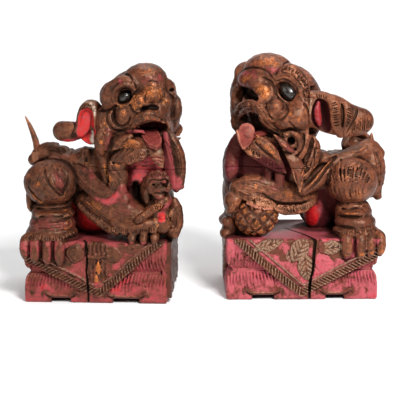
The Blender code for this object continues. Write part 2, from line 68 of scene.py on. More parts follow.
class Place:
    """Statue frame: picture point and depth to statue millimetres, and on to the world."""

    def __init__(self, name, px, y0, yaw, sign):
        self.name, self.sign = name, sign
        self.x0, self.y0 = (px - 200) * MMPP, y0
        self.c, self.s = math.cos(math.radians(yaw)), math.sin(math.radians(yaw))

    def at(self, px, py, depth):
        a, b = (px - 200) / FOCAL, (200 - py) / FOCAL
        ray = np.array((a, math.cos(ELEV) + b * math.sin(ELEV), -math.sin(ELEV) + b * math.cos(ELEV)))
        yw = depth + self.y0
        for _ in range(6):
            q = CAM + ray * (yw - CAM[1]) / ray[1]
            dx, dy = q[0] - self.x0, yw - self.y0
            ly = -dx * self.s + dy * self.c
            yw += depth - ly
        dx, dy = q[0] - self.x0, yw - self.y0
        return np.array((self.sign * (dx * self.c + dy * self.s), -dx * self.s + dy * self.c, q[2]))

    def world(self, v):
        """(n, 3) statue millimetres to world metres."""
        x, y = self.sign * v[:, 0], v[:, 1]
        return np.stack([self.x0 - CENTRE[0] + x * self.c - y * self.s,
                         self.y0 - CENTRE[1] + x * self.s + y * self.c, v[:, 2]], 1) * 0.001


LEFT = Place("left", 95.75, -8.0, -3.0, 1)
RIGHT = Place("right", 301.4, 8.0, 1.0, -1)


# ------------------------------------------------------------------ noise
def _hash(i, j, k, seed):
    with np.errstate(over="ignore"):
        h = (i.astype(np.uint32) * np.uint32(73856093)) ^ (j.astype(np.uint32) * np.uint32(19349663)) \
            ^ (k.astype(np.uint32) * np.uint32(83492791)) ^ np.uint32(seed * 2654435761 % 4294967296)
        h ^= h >> np.uint32(13)
        h *= np.uint32(1274126177)
        h ^= h >> np.uint32(16)
    return h.astype(np.float32) / np.float32(4294967295.0)


def noise(x, y, z, scale, seed=1):
    """Smooth value noise in 0..1."""
    x, y, z = np.broadcast_arrays(np.asarray(x, np.float32) / scale, np.asarray(y, np.float32) / scale,
                                  np.asarray(z, np.float32) / scale)
    xi, yi, zi = np.floor(x), np.floor(y), np.floor(z)
    fx, fy, fz = x - xi, y - yi, z - zi
    fx, fy, fz = (f * f * (3 - 2 * f) for f in (fx, fy, fz))
    xi, yi, zi = xi.astype(np.int64), yi.astype(np.int64), zi.astype(np.int64)
    out = 0
    for a in (0, 1):
        wa = fx if a else 1 - fx
        for b in (0, 1):
            wb = fy if b else 1 - fy
            for c in (0, 1):
                wc = fz if c else 1 - fz
                out = out + wa * wb * wc * _hash(xi + a, yi + b, zi + c, seed)
    return out


def ramp(x, a, b):
    t = np.clip((x - a) / (b - a), 0, 1)
    return t * t * (3 - 2 * t)


def groove(t, sharp=0.6):
    """Row of rounded ridges with narrow valleys, period 1, value -1 in a valley and 0 on a ridge."""
    return -np.abs(np.cos(np.pi * t)) ** (1 / sharp * 2)


def spline(pts, n):
    """Catmull-Rom through rows of numbers, n samples."""
    p = np.asarray(pts, float)
    if len(p) < 3:
        t = np.linspace(0, 1, n)[:, None]
        return p[0] * (1 - t) + p[-1] * t
    q = np.vstack([2 * p[0] - p[1], p, 2 * p[-1] - p[-2]])
    seg = np.linalg.norm(np.diff(p[:, :3], axis=0), axis=1) + 1e-6
    s = np.concatenate([[0], np.cumsum(seg)])
    out = []
    for t in np.linspace(0, s[-1], n):
        i = min(int(np.searchsorted(s, t, side="right")) - 1, len(p) - 2)
        f = (t - s[i]) / seg[i]
        a, b, c, d = q[i], q[i + 1], q[i + 2], q[i + 3]
        out.append(0.5 * (2 * b + (c - a) * f + (2 * a - 5 * b + 4 * c - d) * f * f + (3 * b - 3 * c + d - a) * f ** 3))
    return np.array(out)


# ------------------------------------------------------------------ solids
class Ell:
    def __init__(self, c, r, axes=None, disp=None, reach=0.0):
        self.c, self.r = np.asarray(c, float), np.asarray(r, float)
        self.a = np.eye(3) if axes is None else np.asarray(axes, float)   # rows are axes
        self.disp = disp
        ext = np.sqrt(((self.a * self.r[:, None]) ** 2).sum(0)) + reach
        self.lo, self.hi = self.c - ext, self.c + ext

    def __call__(self, X, Y, Z):
        x, y, z = X - self.c[0], Y - self.c[1], Z - self.c[2]
        q = [self.a[i, 0] * x + self.a[i, 1] * y + self.a[i, 2] * z for i in range(3)]
        n = [q[i] / self.r[i] for i in range(3)]
        k0 = np.sqrt(n[0] ** 2 + n[1] ** 2 + n[2] ** 2) + 1e-6
        k1 = np.sqrt(sum((n[i] / self.r[i]) ** 2 for i in range(3))) + 1e-6
        d = k0 * (k0 - 1) / k1
        if self.disp is not None:
            d = d - self.disp(n[0] / k0, n[1] / k0, n[2] / k0, q)
        return d


class Tube:
    """Swept round or flattened bar.  pts rows: x, y, z; r half width; t half thickness along nrm."""

    def __init__(self, pts, r, t=None, nrm=None, disp=None, n=None, reach=0.0, far=12.0):
        self.far = far
        pts = np.asarray(pts, float)
        r = np.full(len(pts), float(r)) if np.isscalar(r) else np.asarray(r, float)
        t = r if t is None else (np.full(len(pts), float(t)) if np.isscalar(t) else np.asarray(t, float))
        length = np.linalg.norm(np.diff(pts, axis=0), axis=1).sum()
        n = n or max(2, int(length / 3) + 2)
        self.flat = nrm is not None
        cols = [pts, r, t]
        if self.flat:
            nrm = np.asarray(nrm, float)
            cols.append(np.tile(nrm, (len(pts), 1)) if nrm.ndim == 1 else nrm)
        rows = spline(np.column_stack(cols), n)
        self.p, self.r, self.t = rows[:, :3], np.maximum(rows[:, 3], 0.15), np.maximum(rows[:, 4], 0.15)
        if self.flat:
            tan = np.gradient(self.p, axis=0)
            tan /= np.linalg.norm(tan, axis=1)[:, None] + 1e-9
            nn = rows[:, 5:8] - tan * (rows[:, 5:8] * tan).sum(1)[:, None]
            self.n = nn / (np.linalg.norm(nn, axis=1)[:, None] + 1e-9)
        self.s = np.concatenate([[0], np.cumsum(np.linalg.norm(np.diff(self.p, axis=0), axis=1))])
        self.disp = disp
        m = self.r.max() + reach
        self.pad = m
        self.lo, self.hi = self.p.min(0) - m, self.p.max(0) + m

    def __call__(self, X, Y, Z):
        shape = np.broadcast_shapes(X.shape, Y.shape, Z.shape)
        D = np.full(shape, 40.0, np.float32)
        S = np.zeros(shape, np.float32) if self.disp else None
        V = np.zeros(shape, np.float32) if self.disp else None
        W = np.zeros(shape, np.float32) if self.disp else None
        xs, ys, zs = X.ravel(), Y.ravel(), Z.ravel()
        for i in range(len(self.p) - 1):
            a, b = self.p[i], self.p[i + 1]
            m = self.pad + self.far
            lo, hi = np.minimum(a, b) - m, np.maximum(a, b) + m
            sl = tuple(slice(int(np.searchsorted(g, l)), int(np.searchsorted(g, h))) for g, l, h in
                       zip((xs, ys, zs), lo, hi))
            if any(q.stop <= q.start for q in sl):
                continue
            x, y, z = X[sl[0]] - a[0], Y[:, sl[1]] - a[1], Z[:, :, sl[2]] - a[2]
            d = b - a
            L2 = float(d @ d) + 1e-9
            t = np.clip((x * d[0] + y * d[1] + z * d[2]) / L2, 0, 1)
            ox, oy, oz = x - t * d[0], y - t * d[1], z - t * d[2]
            r = self.r[i] + (self.r[i + 1] - self.r[i]) * t
            v = w = None
            if self.flat:
                h = self.t[i] + (self.t[i + 1] - self.t[i]) * t
                nv = self.n[i] + self.n[i + 1]
                nv = nv / np.linalg.norm(nv)
                w = ox * nv[0] + oy * nv[1] + oz * nv[2]
                vx, vy, vz = ox - w * nv[0], oy - w * nv[1], oz - w * nv[2]
                sd = np.cross(d / math.sqrt(L2), nv)
                v = vx * sd[0] + vy * sd[1] + vz * sd[2]
                e = vx * vx + vy * vy + vz * vz
                k0 = np.sqrt(e / (r * r) + (w / h) ** 2) + 1e-6
                k1 = np.sqrt(e / r ** 4 + (w / (h * h)) ** 2) + 1e-6
                dist = k0 * (k0 - 1) / k1
            else:
                dist = np.sqrt(ox * ox + oy * oy + oz * oz) - r
            cur = D[sl]
            near = dist < cur
            cur[near] = dist[near]
            if self.disp:
                sv = self.s[i] + t * (self.s[i + 1] - self.s[i])
                S[sl][near] = np.broadcast_to(sv, near.shape)[near]
                if self.flat:
                    V[sl][near] = (v / r)[near]
                    W[sl][near] = (w / h)[near]
        if self.disp:
            D -= self.disp(S, V, W, self.s[-1])
        return D


class Box:
    def __init__(self, lo, hi, rnd=1.0, disp=None, reach=0.0):
        self.c, self.h = (np.asarray(lo, float) + hi) / 2, (np.asarray(hi, float) - lo) / 2
        self.rnd, self.disp = rnd, disp
        self.lo, self.hi = np.asarray(lo, float) - reach, np.asarray(hi, float) + reach

    def __call__(self, X, Y, Z):
        q = [np.abs(g - self.c[i]) - self.h[i] + self.rnd for i, g in enumerate((X, Y, Z))]
        out = np.sqrt(sum(np.maximum(v, 0) ** 2 for v in q))
        d = out + np.minimum(np.maximum(np.maximum(q[0], q[1]), q[2]), 0) - self.rnd
        if self.disp is not None:
            d = d - self.disp(X, Y, Z)
        return d


CH = ("red", "gold", "dark")


class Field:
    """Signed distance and paint on a grid, in statue millimetres."""

    def __init__(self, lo, hi, h):
        self.h = h
        self.ax = [np.arange(l, u + h, h, dtype=np.float32) for l, u in zip(lo, hi)]
        shape = tuple(len(a) for a in self.ax)
        self.D = np.full(shape, 30.0, np.float32)
        self.C = {c: np.zeros(shape, np.float32) for c in (*CH, "pale")}

    def grab(self, lo, hi):
        sl = []
        for a, l, u in zip(self.ax, lo, hi):
            i, j = int(np.searchsorted(a, l)), int(np.searchsorted(a, u))
            if j <= i:
                return None
            sl.append(slice(i, j))
        X = self.ax[0][sl[0]][:, None, None]
        Y = self.ax[1][sl[1]][None, :, None]
        Z = self.ax[2][sl[2]][None, None, :]
        return tuple(sl), X, Y, Z

    def paint(self, sl, h, col):
        for name, v in zip(CH, col):
            c = self.C[name][sl]
            c += (v - c) * h

    def add(self, s, k=2.0, col=(0, 0, 0)):
        got = self.grab(s.lo - k - 8, s.hi + k + 8)
        if got is None:
            return self
        sl, X, Y, Z = got
        d = s(X, Y, Z)
        D = self.D[sl]
        h = np.clip(0.5 + 0.5 * (D - d) / k, 0, 1)
        if col is not None:
            self.paint(sl, h, col)
        self.D[sl] = D + (d - D) * h - k * h * (1 - h)
        return self

    def cut(self, s, k=1.0, col=None):
        got = self.grab(s.lo - k - 3, s.hi + k + 3)
        if got is None:
            return self
        sl, X, Y, Z = got
        d = -s(X, Y, Z)
        D = self.D[sl]
        h = np.clip(0.5 - 0.5 * (D - d) / k, 0, 1)
        if col is not None:
            self.paint(sl, h, col)
        self.D[sl] = D + (d - D) * h + k * h * (1 - h)
        return self

    def tint(self, s, col, soft=2.0, power=1.0):
        """Paints where solid s is, without changing the shape."""
        got = self.grab(s.lo - soft, s.hi + soft)
        if got is None:
            return self
        sl, X, Y, Z = got
        self.paint(sl, power * ramp(-s(X, Y, Z), -soft, soft), col)
        return self

    def blur(self, n=1):
        D = self.D
        for _ in range(n):
            for ax in range(3):
                E = D.copy()
                a = [slice(None)] * 3
                b, c = list(a), list(a)
                a[ax], b[ax], c[ax] = slice(1, -1), slice(0, -2), slice(2, None)
                E[tuple(a)] = 0.5 * D[tuple(a)] + 0.25 * (D[tuple(b)] + D[tuple(c)])
                D = E
        self.D = D
        return self

    def chalk(self, s, soft=1.2, power=1.0):
        """Bared gesso inside solid s."""
        got = self.grab(s.lo - soft, s.hi + soft)
        if got is not None:
            sl, X, Y, Z = got
            c = self.C["pale"][sl]
            c += (1 - c) * power * ramp(-s(X, Y, Z), -soft, soft)
        return self

    def facets(self, size, amp, seed, squash=0.7):
        """Shallow scoops left by the gouge, with soft arrises between them."""
        m = np.abs(self.D) < 1.9
        i = np.nonzero(m)
        q = [self.ax[k][i[k]] / (size * (squash if k == 2 else 1.0)) for k in range(3)]
        wob = noise(self.ax[0][i[0]], self.ax[1][i[1]], self.ax[2][i[2]], size * 1.7, seed + 9) - 0.5
        q[0] = q[0] + wob
        cell = [np.floor(v).astype(np.int32) for v in q]
        best = np.full(len(q[0]), 9.0)
        for da in (-1, 0, 1):
            for db in (-1, 0, 1):
                for dc in (-1, 0, 1):
                    c = (cell[0] + da, cell[1] + db, cell[2] + dc)
                    d = sum((c[k] + 0.15 + 0.7 * _hash(*c, seed + k) - q[k]) ** 2 for k in range(3))
                    best = np.minimum(best, d)
        self.D[m] += (amp * (0.32 - np.minimum(best, 0.75)) * 1.6).astype(self.D.dtype)
        return self

    def rough(self, scale, amp, seed):
        X, Y, Z = self.ax[0][:, None, None], self.ax[1][None, :, None], self.ax[2][None, None, :]
        for i in range(0, len(self.ax[0]), 24):
            near = np.abs(self.D[i:i + 24]) < 6
            if near.any():
                a, b, c = np.nonzero(near)
                self.D[i:i + 24][a, b, c] += (noise(self.ax[0][i + a], self.ax[1][b], self.ax[2][c], scale, seed)
                                              - 0.5) * 2 * amp
        return self


# ------------------------------------------------------------------ meshing
def nets(D, ax):
    """Surface nets: one vertex per cell that the surface crosses."""
    s = D < 0
    act = np.zeros(tuple(n - 1 for n in D.shape), bool)
    first = s[:-1, :-1, :-1]
    for a in (0, 1):
        for b in (0, 1):
            for c in (0, 1):
                act |= s[a:s.shape[0] - 1 + a, b:s.shape[1] - 1 + b, c:s.shape[2] - 1 + c] != first
    I, J, K = np.nonzero(act)
    vals = {}
    for a in (0, 1):
        for b in (0, 1):
            for c in (0, 1):
                vals[a, b, c] = D[I + a, J + b, K + c].astype(np.float64)
    pos, cnt = np.zeros((len(I), 3)), np.zeros(len(I))
    keys = list(vals)
    for p in keys:
        for d in range(3):
            if p[d]:
                continue
            q = tuple(1 if i == d else p[i] for i in range(3))
            v0, v1 = vals[p], vals[q]
            m = (v0 < 0) != (v1 < 0)
            t = np.where(m, v0 / np.where(m, v0 - v1, 1), 0)
            for i in range(3):
                pos[:, i] += m * (p[i] + (t if i == d else 0))
            cnt += m
    pos /= cnt[:, None]
    idx = np.full(act.shape, -1, np.int32)
    idx[I, J, K] = np.arange(len(I))
    h = ax[0][1] - ax[0][0]
    V = np.stack([ax[0][I], ax[1][J], ax[2][K]], 1) + pos * h
    quads = []
    for d in range(3):
        e1, e2 = [i for i in range(3) if i != d]
        a = [slice(None)] * 3
        b = [slice(None)] * 3
        a[d], b[d] = slice(0, -1), slice(1, None)
        for e in (e1, e2):
            a[e] = b[e] = slice(1, -1)
        s0, s1 = s[tuple(a)], s[tuple(b)]
        x = np.array(np.nonzero(s0 != s1))
        inside = s0[tuple(x)]
        base = x.copy()
        base[e1] += 1
        base[e2] += 1

        def cell(o1, o2):
            c = base.copy()
            c[e1] -= o1
            c[e2] -= o2
            return idx[tuple(c)]

        q = np.stack([cell(1, 1), cell(0, 1), cell(0, 0), cell(1, 0)], 1)
        flip = inside if d != 1 else ~inside
        q[~flip] = q[~flip][:, ::-1]
        quads.append(q)
    Q = np.vstack(quads)
    return V, Q[(Q >= 0).all(1)]


def largest(V, Q, keep=1):
    """Keeps the biggest connected shells."""
    lab = np.arange(len(V))
    e = np.vstack([Q[:, [0, 1]], Q[:, [1, 2]], Q[:, [2, 3]]])
    while True:
        m = np.minimum(lab[e[:, 0]], lab[e[:, 1]])
        new = lab.copy()
        np.minimum.at(new, e[:, 0], m)
        np.minimum.at(new, e[:, 1], m)
        new = new[new]
        new = new[new]
        if (new == lab).all():
            break
        lab = new
    ids, n = np.unique(lab, return_counts=True)
    good = ids[np.argsort(n)[::-1][:keep]]
    ok = np.isin(lab, good)
    remap = np.cumsum(ok) - 1
    Q = Q[ok[Q[:, 0]]]
    return V[ok], remap[Q]


def sample(G, ax, P):
    """Trilinear values of grid G at points P."""
    h = ax[0][1] - ax[0][0]
    f = [(P[:, i] - ax[i][0]) / h for i in range(3)]
    i0 = [np.clip(np.floor(v).astype(int), 0, G.shape[i] - 2) for i, v in enumerate(f)]
    t = [np.clip(v - i, 0, 1) for v, i in zip(f, i0)]
    out = 0
    for a in (0, 1):
        for b in (0, 1):
            for c in (0, 1):
                w = (t[0] if a else 1 - t[0]) * (t[1] if b else 1 - t[1]) * (t[2] if c else 1 - t[2])
                out = out + w * G[i0[0] + a, i0[1] + b, i0[2] + c]
    return out


def gradient(D, ax, P, e):
    g = np.stack([sample(D, ax, P + d) - sample(D, ax, P - d) for d in np.eye(3) * e], 1)
    return g / (np.linalg.norm(g, axis=1)[:, None] + 1e-9)


def mesh_from(field, place, name, D=None, target=None, crop=None, keep=1):
    """Polygonises a field into a painted Blender object in world metres."""
    D = field.D if D is None else D
    ax = field.ax
    if crop is not None:
        sl = tuple(slice(max(0, int(np.searchsorted(a, l)) - 1), int(np.searchsorted(a, u)) + 1)
                   for a, l, u in zip(ax, *crop))
        D = D[sl]
        ax = [a[q] for a, q in zip(ax, sl)]
    for i in range(3):                      # closed at the grid's border
        for j in (0, -1):
            k = [slice(None)] * 3
            k[i] = j
            D[tuple(k)] = np.maximum(D[tuple(k)], 1.0)
    V, Q = nets(D, ax)
    V, Q = largest(V, Q, keep)
    h = field.h
    for _ in range(2):
        g = gradient(D, ax, V, h * 0.5)
        V = V - g * np.clip(sample(D, ax, V), -0.4 * h, 0.4 * h)[:, None]
    full, fax = field.D, field.ax
    g = gradient(full, fax, V, h)
    # cavity and ridge measures sampled along the normal, ambient-occlusion-like: the finish turns conc into painted
    # shade in hollows and conv into rubbed edges partly painted as highlight
    conc = np.zeros(len(V))
    conv = np.zeros(len(V))
    for d, w, v in ((1.3, 0.06, 0.22), (2.4, 0.20, 0.26), (5.0, 0.40, 0.28), (10.0, 0.34, 0.24)):
        conc += w * np.clip((d - np.minimum(sample(full, fax, V + g * d), 12)) / d, 0, 1.3)
        conv += v * np.clip((d + sample(full, fax, V - g * d)) / d, 0, 1.3)
    cols = np.stack([sample(field.C[c], fax, V) for c in CH], 1)
    if place.sign < 0:
        Q = Q[:, ::-1]
    me = bpy.data.meshes.new(name)
    W = place.world(V)
    me.vertices.add(len(W))
    me.vertices.foreach_set("co", W.astype(np.float32).ravel())
    me.loops.add(len(Q) * 4)
    me.loops.foreach_set("vertex_index", Q.astype(np.int32).ravel())
    me.polygons.add(len(Q))
    me.polygons.foreach_set("loop_start", np.arange(0, len(Q) * 4, 4, dtype=np.int32))
    me.polygons.foreach_set("loop_total", np.full(len(Q), 4, np.int32))
    me.update(calc_edges=True)
    me.validate()
    ones = np.ones(len(V))
    for label, data in (("paint", (cols[:, 0], cols[:, 1], cols[:, 2], ones)),
                        ("relief", (conv, conc, sample(field.C["pale"], fax, V), ones))):
        a = me.color_attributes.new(label, "FLOAT_COLOR", "POINT")
        a.data.foreach_set("color", np.clip(np.stack(data, 1), 0, 1).astype(np.float32).ravel())
    ob = bpy.data.objects.new(name, me)
    bpy.context.scene.collection.objects.link(ob)
    tris = 2 * len(Q)
    if target and tris > target:
        m = ob.modifiers.new("thin", "DECIMATE")
        m.ratio = target / tris
        dg = bpy.context.evaluated_depsgraph_get()
        new = bpy.data.meshes.new_from_object(ob.evaluated_get(dg))
        ob.modifiers.clear()
        old, ob.data = ob.data, new
        bpy.data.meshes.remove(old)
        new.name = name
    ob.data.shade_smooth()
    print(f"{name}: {tris} -> {len(ob.data.loop_triangles) or len(ob.data.polygons)} faces")
    return ob


# ------------------------------------------------------------------ helpers of the carver
class Head:
    """Turned and tilted axes of a head: a outwards, f forwards, c up, in units of its scale."""

    def __init__(self, place, origin, yaw, pitch, roll, scale):
        y, p, r = (math.radians(v) for v in (yaw, pitch, roll))
        fwd = np.array((math.sin(y), -math.cos(y), 0))
        out = np.array((-math.cos(y), -math.sin(y), 0))
        up = np.array((0, 0, 1.0))
        self.f = fwd * math.cos(p) + up * math.sin(p)
        up2 = up * math.cos(p) - fwd * math.sin(p)
        self.a = out * math.cos(r) + up2 * math.sin(r)
        self.c = up2 * math.cos(r) - out * math.sin(r)
        self.o, self.s, self.place = np.array(origin, float), scale, place
        self.axes = np.array((self.a, self.f, self.c))

    def at(self, a, f, c):
        return self.o + self.s * (self.a * a + self.f * f + self.c * c)

    def back(self, p):
        return self.axes @ (np.asarray(p) - self.o) / self.s

    def ell(self, c, r, tilt=None, **kw):
        ax = self.axes if tilt is None else tilt @ self.axes
        return Ell(self.at(*c), np.asarray(r, float) * self.s, ax, **kw)

    def tube(self, pts, r, t=None, nrm=None, **kw):
        r = np.asarray(r, float) * self.s
        t = None if t is None else np.asarray(t, float) * self.s
        if nrm is not None:
            nrm = np.asarray(nrm, float) @ self.axes
        r = float(r) if r.ndim == 0 else r
        t = float(t) if t is not None and t.ndim == 0 else t
        return Tube([self.at(*p) for p in pts], r, t, nrm, **kw)


def eye_of(place):
    """Camera in statue millimetres."""
    dx, dy = CAM[0] - place.x0, CAM[1] - place.y0
    return np.array((place.sign * (dx * place.c + dy * place.s), -dx * place.s + dy * place.c, CAM[2]))


def hit(F, place, px, py, near=-60.0, far=170.0, step=0.6):
    """First point of the carving seen at a picture point, with its normal; None past the outline."""
    a, b = place.at(px, py, near), place.at(px, py, far)
    n = int(np.linalg.norm(b - a) / step)
    P = a + (b - a) * np.linspace(0, 1, n)[:, None]
    ok = np.ones(n, bool)
    for i in range(3):
        ok &= (P[:, i] > F.ax[i][0]) & (P[:, i] < F.ax[i][-1])
    if not ok.any():
        return None
    P = P[ok]
    d = sample(F.D, F.ax, P)
    k = np.nonzero(d < 0)[0]
    if not len(k):
        return None
    p = P[k[0]]
    g = gradient(F.D, F.ax, p[None], 1.2)[0]
    return p, g


def drape(F, place, pts, lift=0.0, near=-60.0, closest=3):
    """Picture polyline laid on the carving; points past the outline take the nearest that hits."""
    got, nor, kept = [], [], []
    for q in pts:
        h = None
        for r in range(closest + 1):
            for dx, dy in ((0, 0),) if r == 0 else ((r, 0), (-r, 0), (0, r), (0, -r)):
                h = h or hit(F, place, q[0] + dx, q[1] + dy, near)
            if h:
                break
        if h:
            got.append(h[0] + h[1] * lift)
            nor.append(h[1])
            kept.append(q[2:])
    return np.array(got), np.array(nor), kept


def strands(n, amp, power=1.6, wob=0.0, seed=3):
    """Ridges that run along a ribbon, n across."""
    def f(S, V, W, T):
        v = V * n / 2
        if wob:
            v = v + wob * (noise(S / 14, V * 1.5, 0 * V, 1.0, seed) - 0.5)
        return -amp * np.abs(np.cos(np.pi * v)) ** power
    return f


def ticks(period, amp, power=2.5, slant=0.0):
    """Notches across a ribbon."""
    def f(S, V, W, T):
        return -amp * np.abs(np.cos(np.pi * (S + slant * V) / period)) ** power
    return f


class Carver:
    """Adds picture-placed strokes to a field."""

    def __init__(self, F, place):
        self.F, self.p = F, place

    def lay(self, pts, r, t, lift=0.0, k=1.5, col=(0, 0, 0), disp=None, near=-60.0, reach=0.0):
        """Ribbon draped over the carving; each pt may carry its own half width (mm) as a third number."""
        P, N, extra = drape(self.F, self.p, pts, lift, near)
        if len(P) < 2:
            return self
        rr = np.array([e[0] if len(e) else r for e in extra], float)
        tt = np.minimum(t, rr * 0.8)
        self.F.add(Tube(P, rr, tt, N, disp, reach=reach), k, col)
        return self

    def ridge(self, pts, r, lift=0.0, k=1.5, col=(0, 0, 0), near=-60.0):
        P, N, extra = drape(self.F, self.p, pts, lift, near)
        if len(P) < 2:
            return self
        rr = np.array([e[0] if len(e) else r for e in extra], float)
        self.F.add(Tube(P, rr), k, col)
        return self

    def cut(self, pts, r, depth=0.0, k=0.8, col=None, near=-60.0, taper=True):
        """Gouged line: depth sinks the tool's axis under the surface."""
        P, N, extra = drape(self.F, self.p, pts, -depth, near)
        if len(P) < 2:
            return self
        rr = np.array([e[0] if len(e) else r for e in extra], float)
        # the dark part of col, cut to a quarter, is painted shade in the gouged line
        if col is not None:
            col = (col[0], col[1], col[2] * 0.24)
        if taper and len(rr) > 2:
            rr[0] *= 0.55
            rr[-1] *= 0.55
        self.F.cut(Tube(P, rr, far=4.0), k, col)
        return self

    def dab(self, pts, r, col, soft=2.0, power=1.0, near=-60.0):
        """Paint along a picture line or at a picture point."""
        P, N, extra = drape(self.F, self.p, pts, 0.0, near)
        for q, e in zip(P, extra):
            rr = e[0] if len(e) else r
            self.F.tint(Ell(q, (rr, rr, rr)), col, soft, power)
        return self

    def chalk(self, pts, r, soft=1.2, power=1.0, near=-60.0):
        P, N, extra = drape(self.F, self.p, pts, 0.0, near)
        if len(P) > 1:
            self.F.chalk(Tube(P, [e[0] if len(e) else r for e in extra]), soft, power)
        return self

    def comb(self, pts, n, r=0.75, depth=0.1, k=0.5, col=None, seed=5, trim=0.12, rows=13):
        """n gouged lines along a picture path; each pt carries the half width of the band in px."""
        rng = np.random.default_rng(seed)
        q = spline(np.asarray(pts, float), rows)
        t = np.gradient(q[:, :2], axis=0)
        t /= np.linalg.norm(t, axis=1)[:, None] + 1e-9
        nn = np.column_stack([-t[:, 1], t[:, 0]])
        for i in range(n):
            o = 2 * (i + 0.5 + 0.22 * rng.uniform(-1, 1)) / n - 1
            w = 0.10 * np.sin(np.linspace(0, 5, rows) + rng.uniform(0, 6))
            line = q[:, :2] + nn * (q[:, 2] * (o + w / n * 2))[:, None]
            a, b = int(rng.uniform(0, trim) * rows), rows - int(rng.uniform(0, trim) * rows)
            if b - a > 2:
                self.cut(line[a:b], r * rng.uniform(0.85, 1.15), depth + 0.08, k * 0.85, col)
        return self

    def hatch(self, a, b, n, r, depth=0.0, k=0.6, bend=0.0, near=-60.0, jitter=0.15, seed=5):
        """n gouged lines spread from picture line a to picture line b."""
        rng = np.random.default_rng(seed)
        a, b = np.asarray(a, float), np.asarray(b, float)
        span = sum(np.linalg.norm(np.diff(q[:, :2], axis=0), axis=1).sum() for q in (a, b)) / 2
        r = max(r, 0.85)
        n = max(3, min(n, int(span * 1.276 / (2.9 * r))))
        for i in range(n):
            t = (i + 0.5 + jitter * rng.uniform(-1, 1)) / n
            p = spline(np.column_stack([a, np.zeros(len(a))]), 25)[int(t * 24)][:2] if len(a) > 2 else a[0] + (a[-1] - a[0]) * t
            q = spline(np.column_stack([b, np.zeros(len(b))]), 25)[int(t * 24)][:2] if len(b) > 2 else b[0] + (b[-1] - b[0]) * t
            m = (p + q) / 2 + bend * np.array((-(q - p)[1], (q - p)[0]))
            u = rng.uniform(0, 0.12)
            self.cut([p + (q - p) * u, m, q - (q - p) * rng.uniform(0, 0.12)], r * 1.08, depth + 0.3, k * 0.8, near=near)
        return self


# ------------------------------------------------------------------ plinths
def seg_dist(U, Z, pts):
    """Distance, arc length and side of the nearest point of a polyline in the front plane."""
    best = np.full(np.broadcast_shapes(U.shape, Z.shape), 1e3)
    arc = np.zeros_like(best)
    side = np.zeros_like(best)
    s0 = 0.0
    for (a, b), (c, d) in zip(pts, pts[1:]):
        du, dz = c - a, d - b
        L = math.hypot(du, dz)
        t = np.clip(((U - a) * du + (Z - b) * dz) / (L * L), 0, 1)
        x, z = U - a - t * du, Z - b - t * dz
        dist = np.sqrt(x * x + z * z)
        m = dist < best
        best = np.where(m, dist, best)
        arc = np.where(m, s0 + t * L, arc)
        side = np.where(m, np.sign(x * dz - z * du), side)
        s0 += L
    return best, arc, side


def rgb_pale(col):
    return np.array(tuple(col) + (0.0,) * (4 - len(col)))


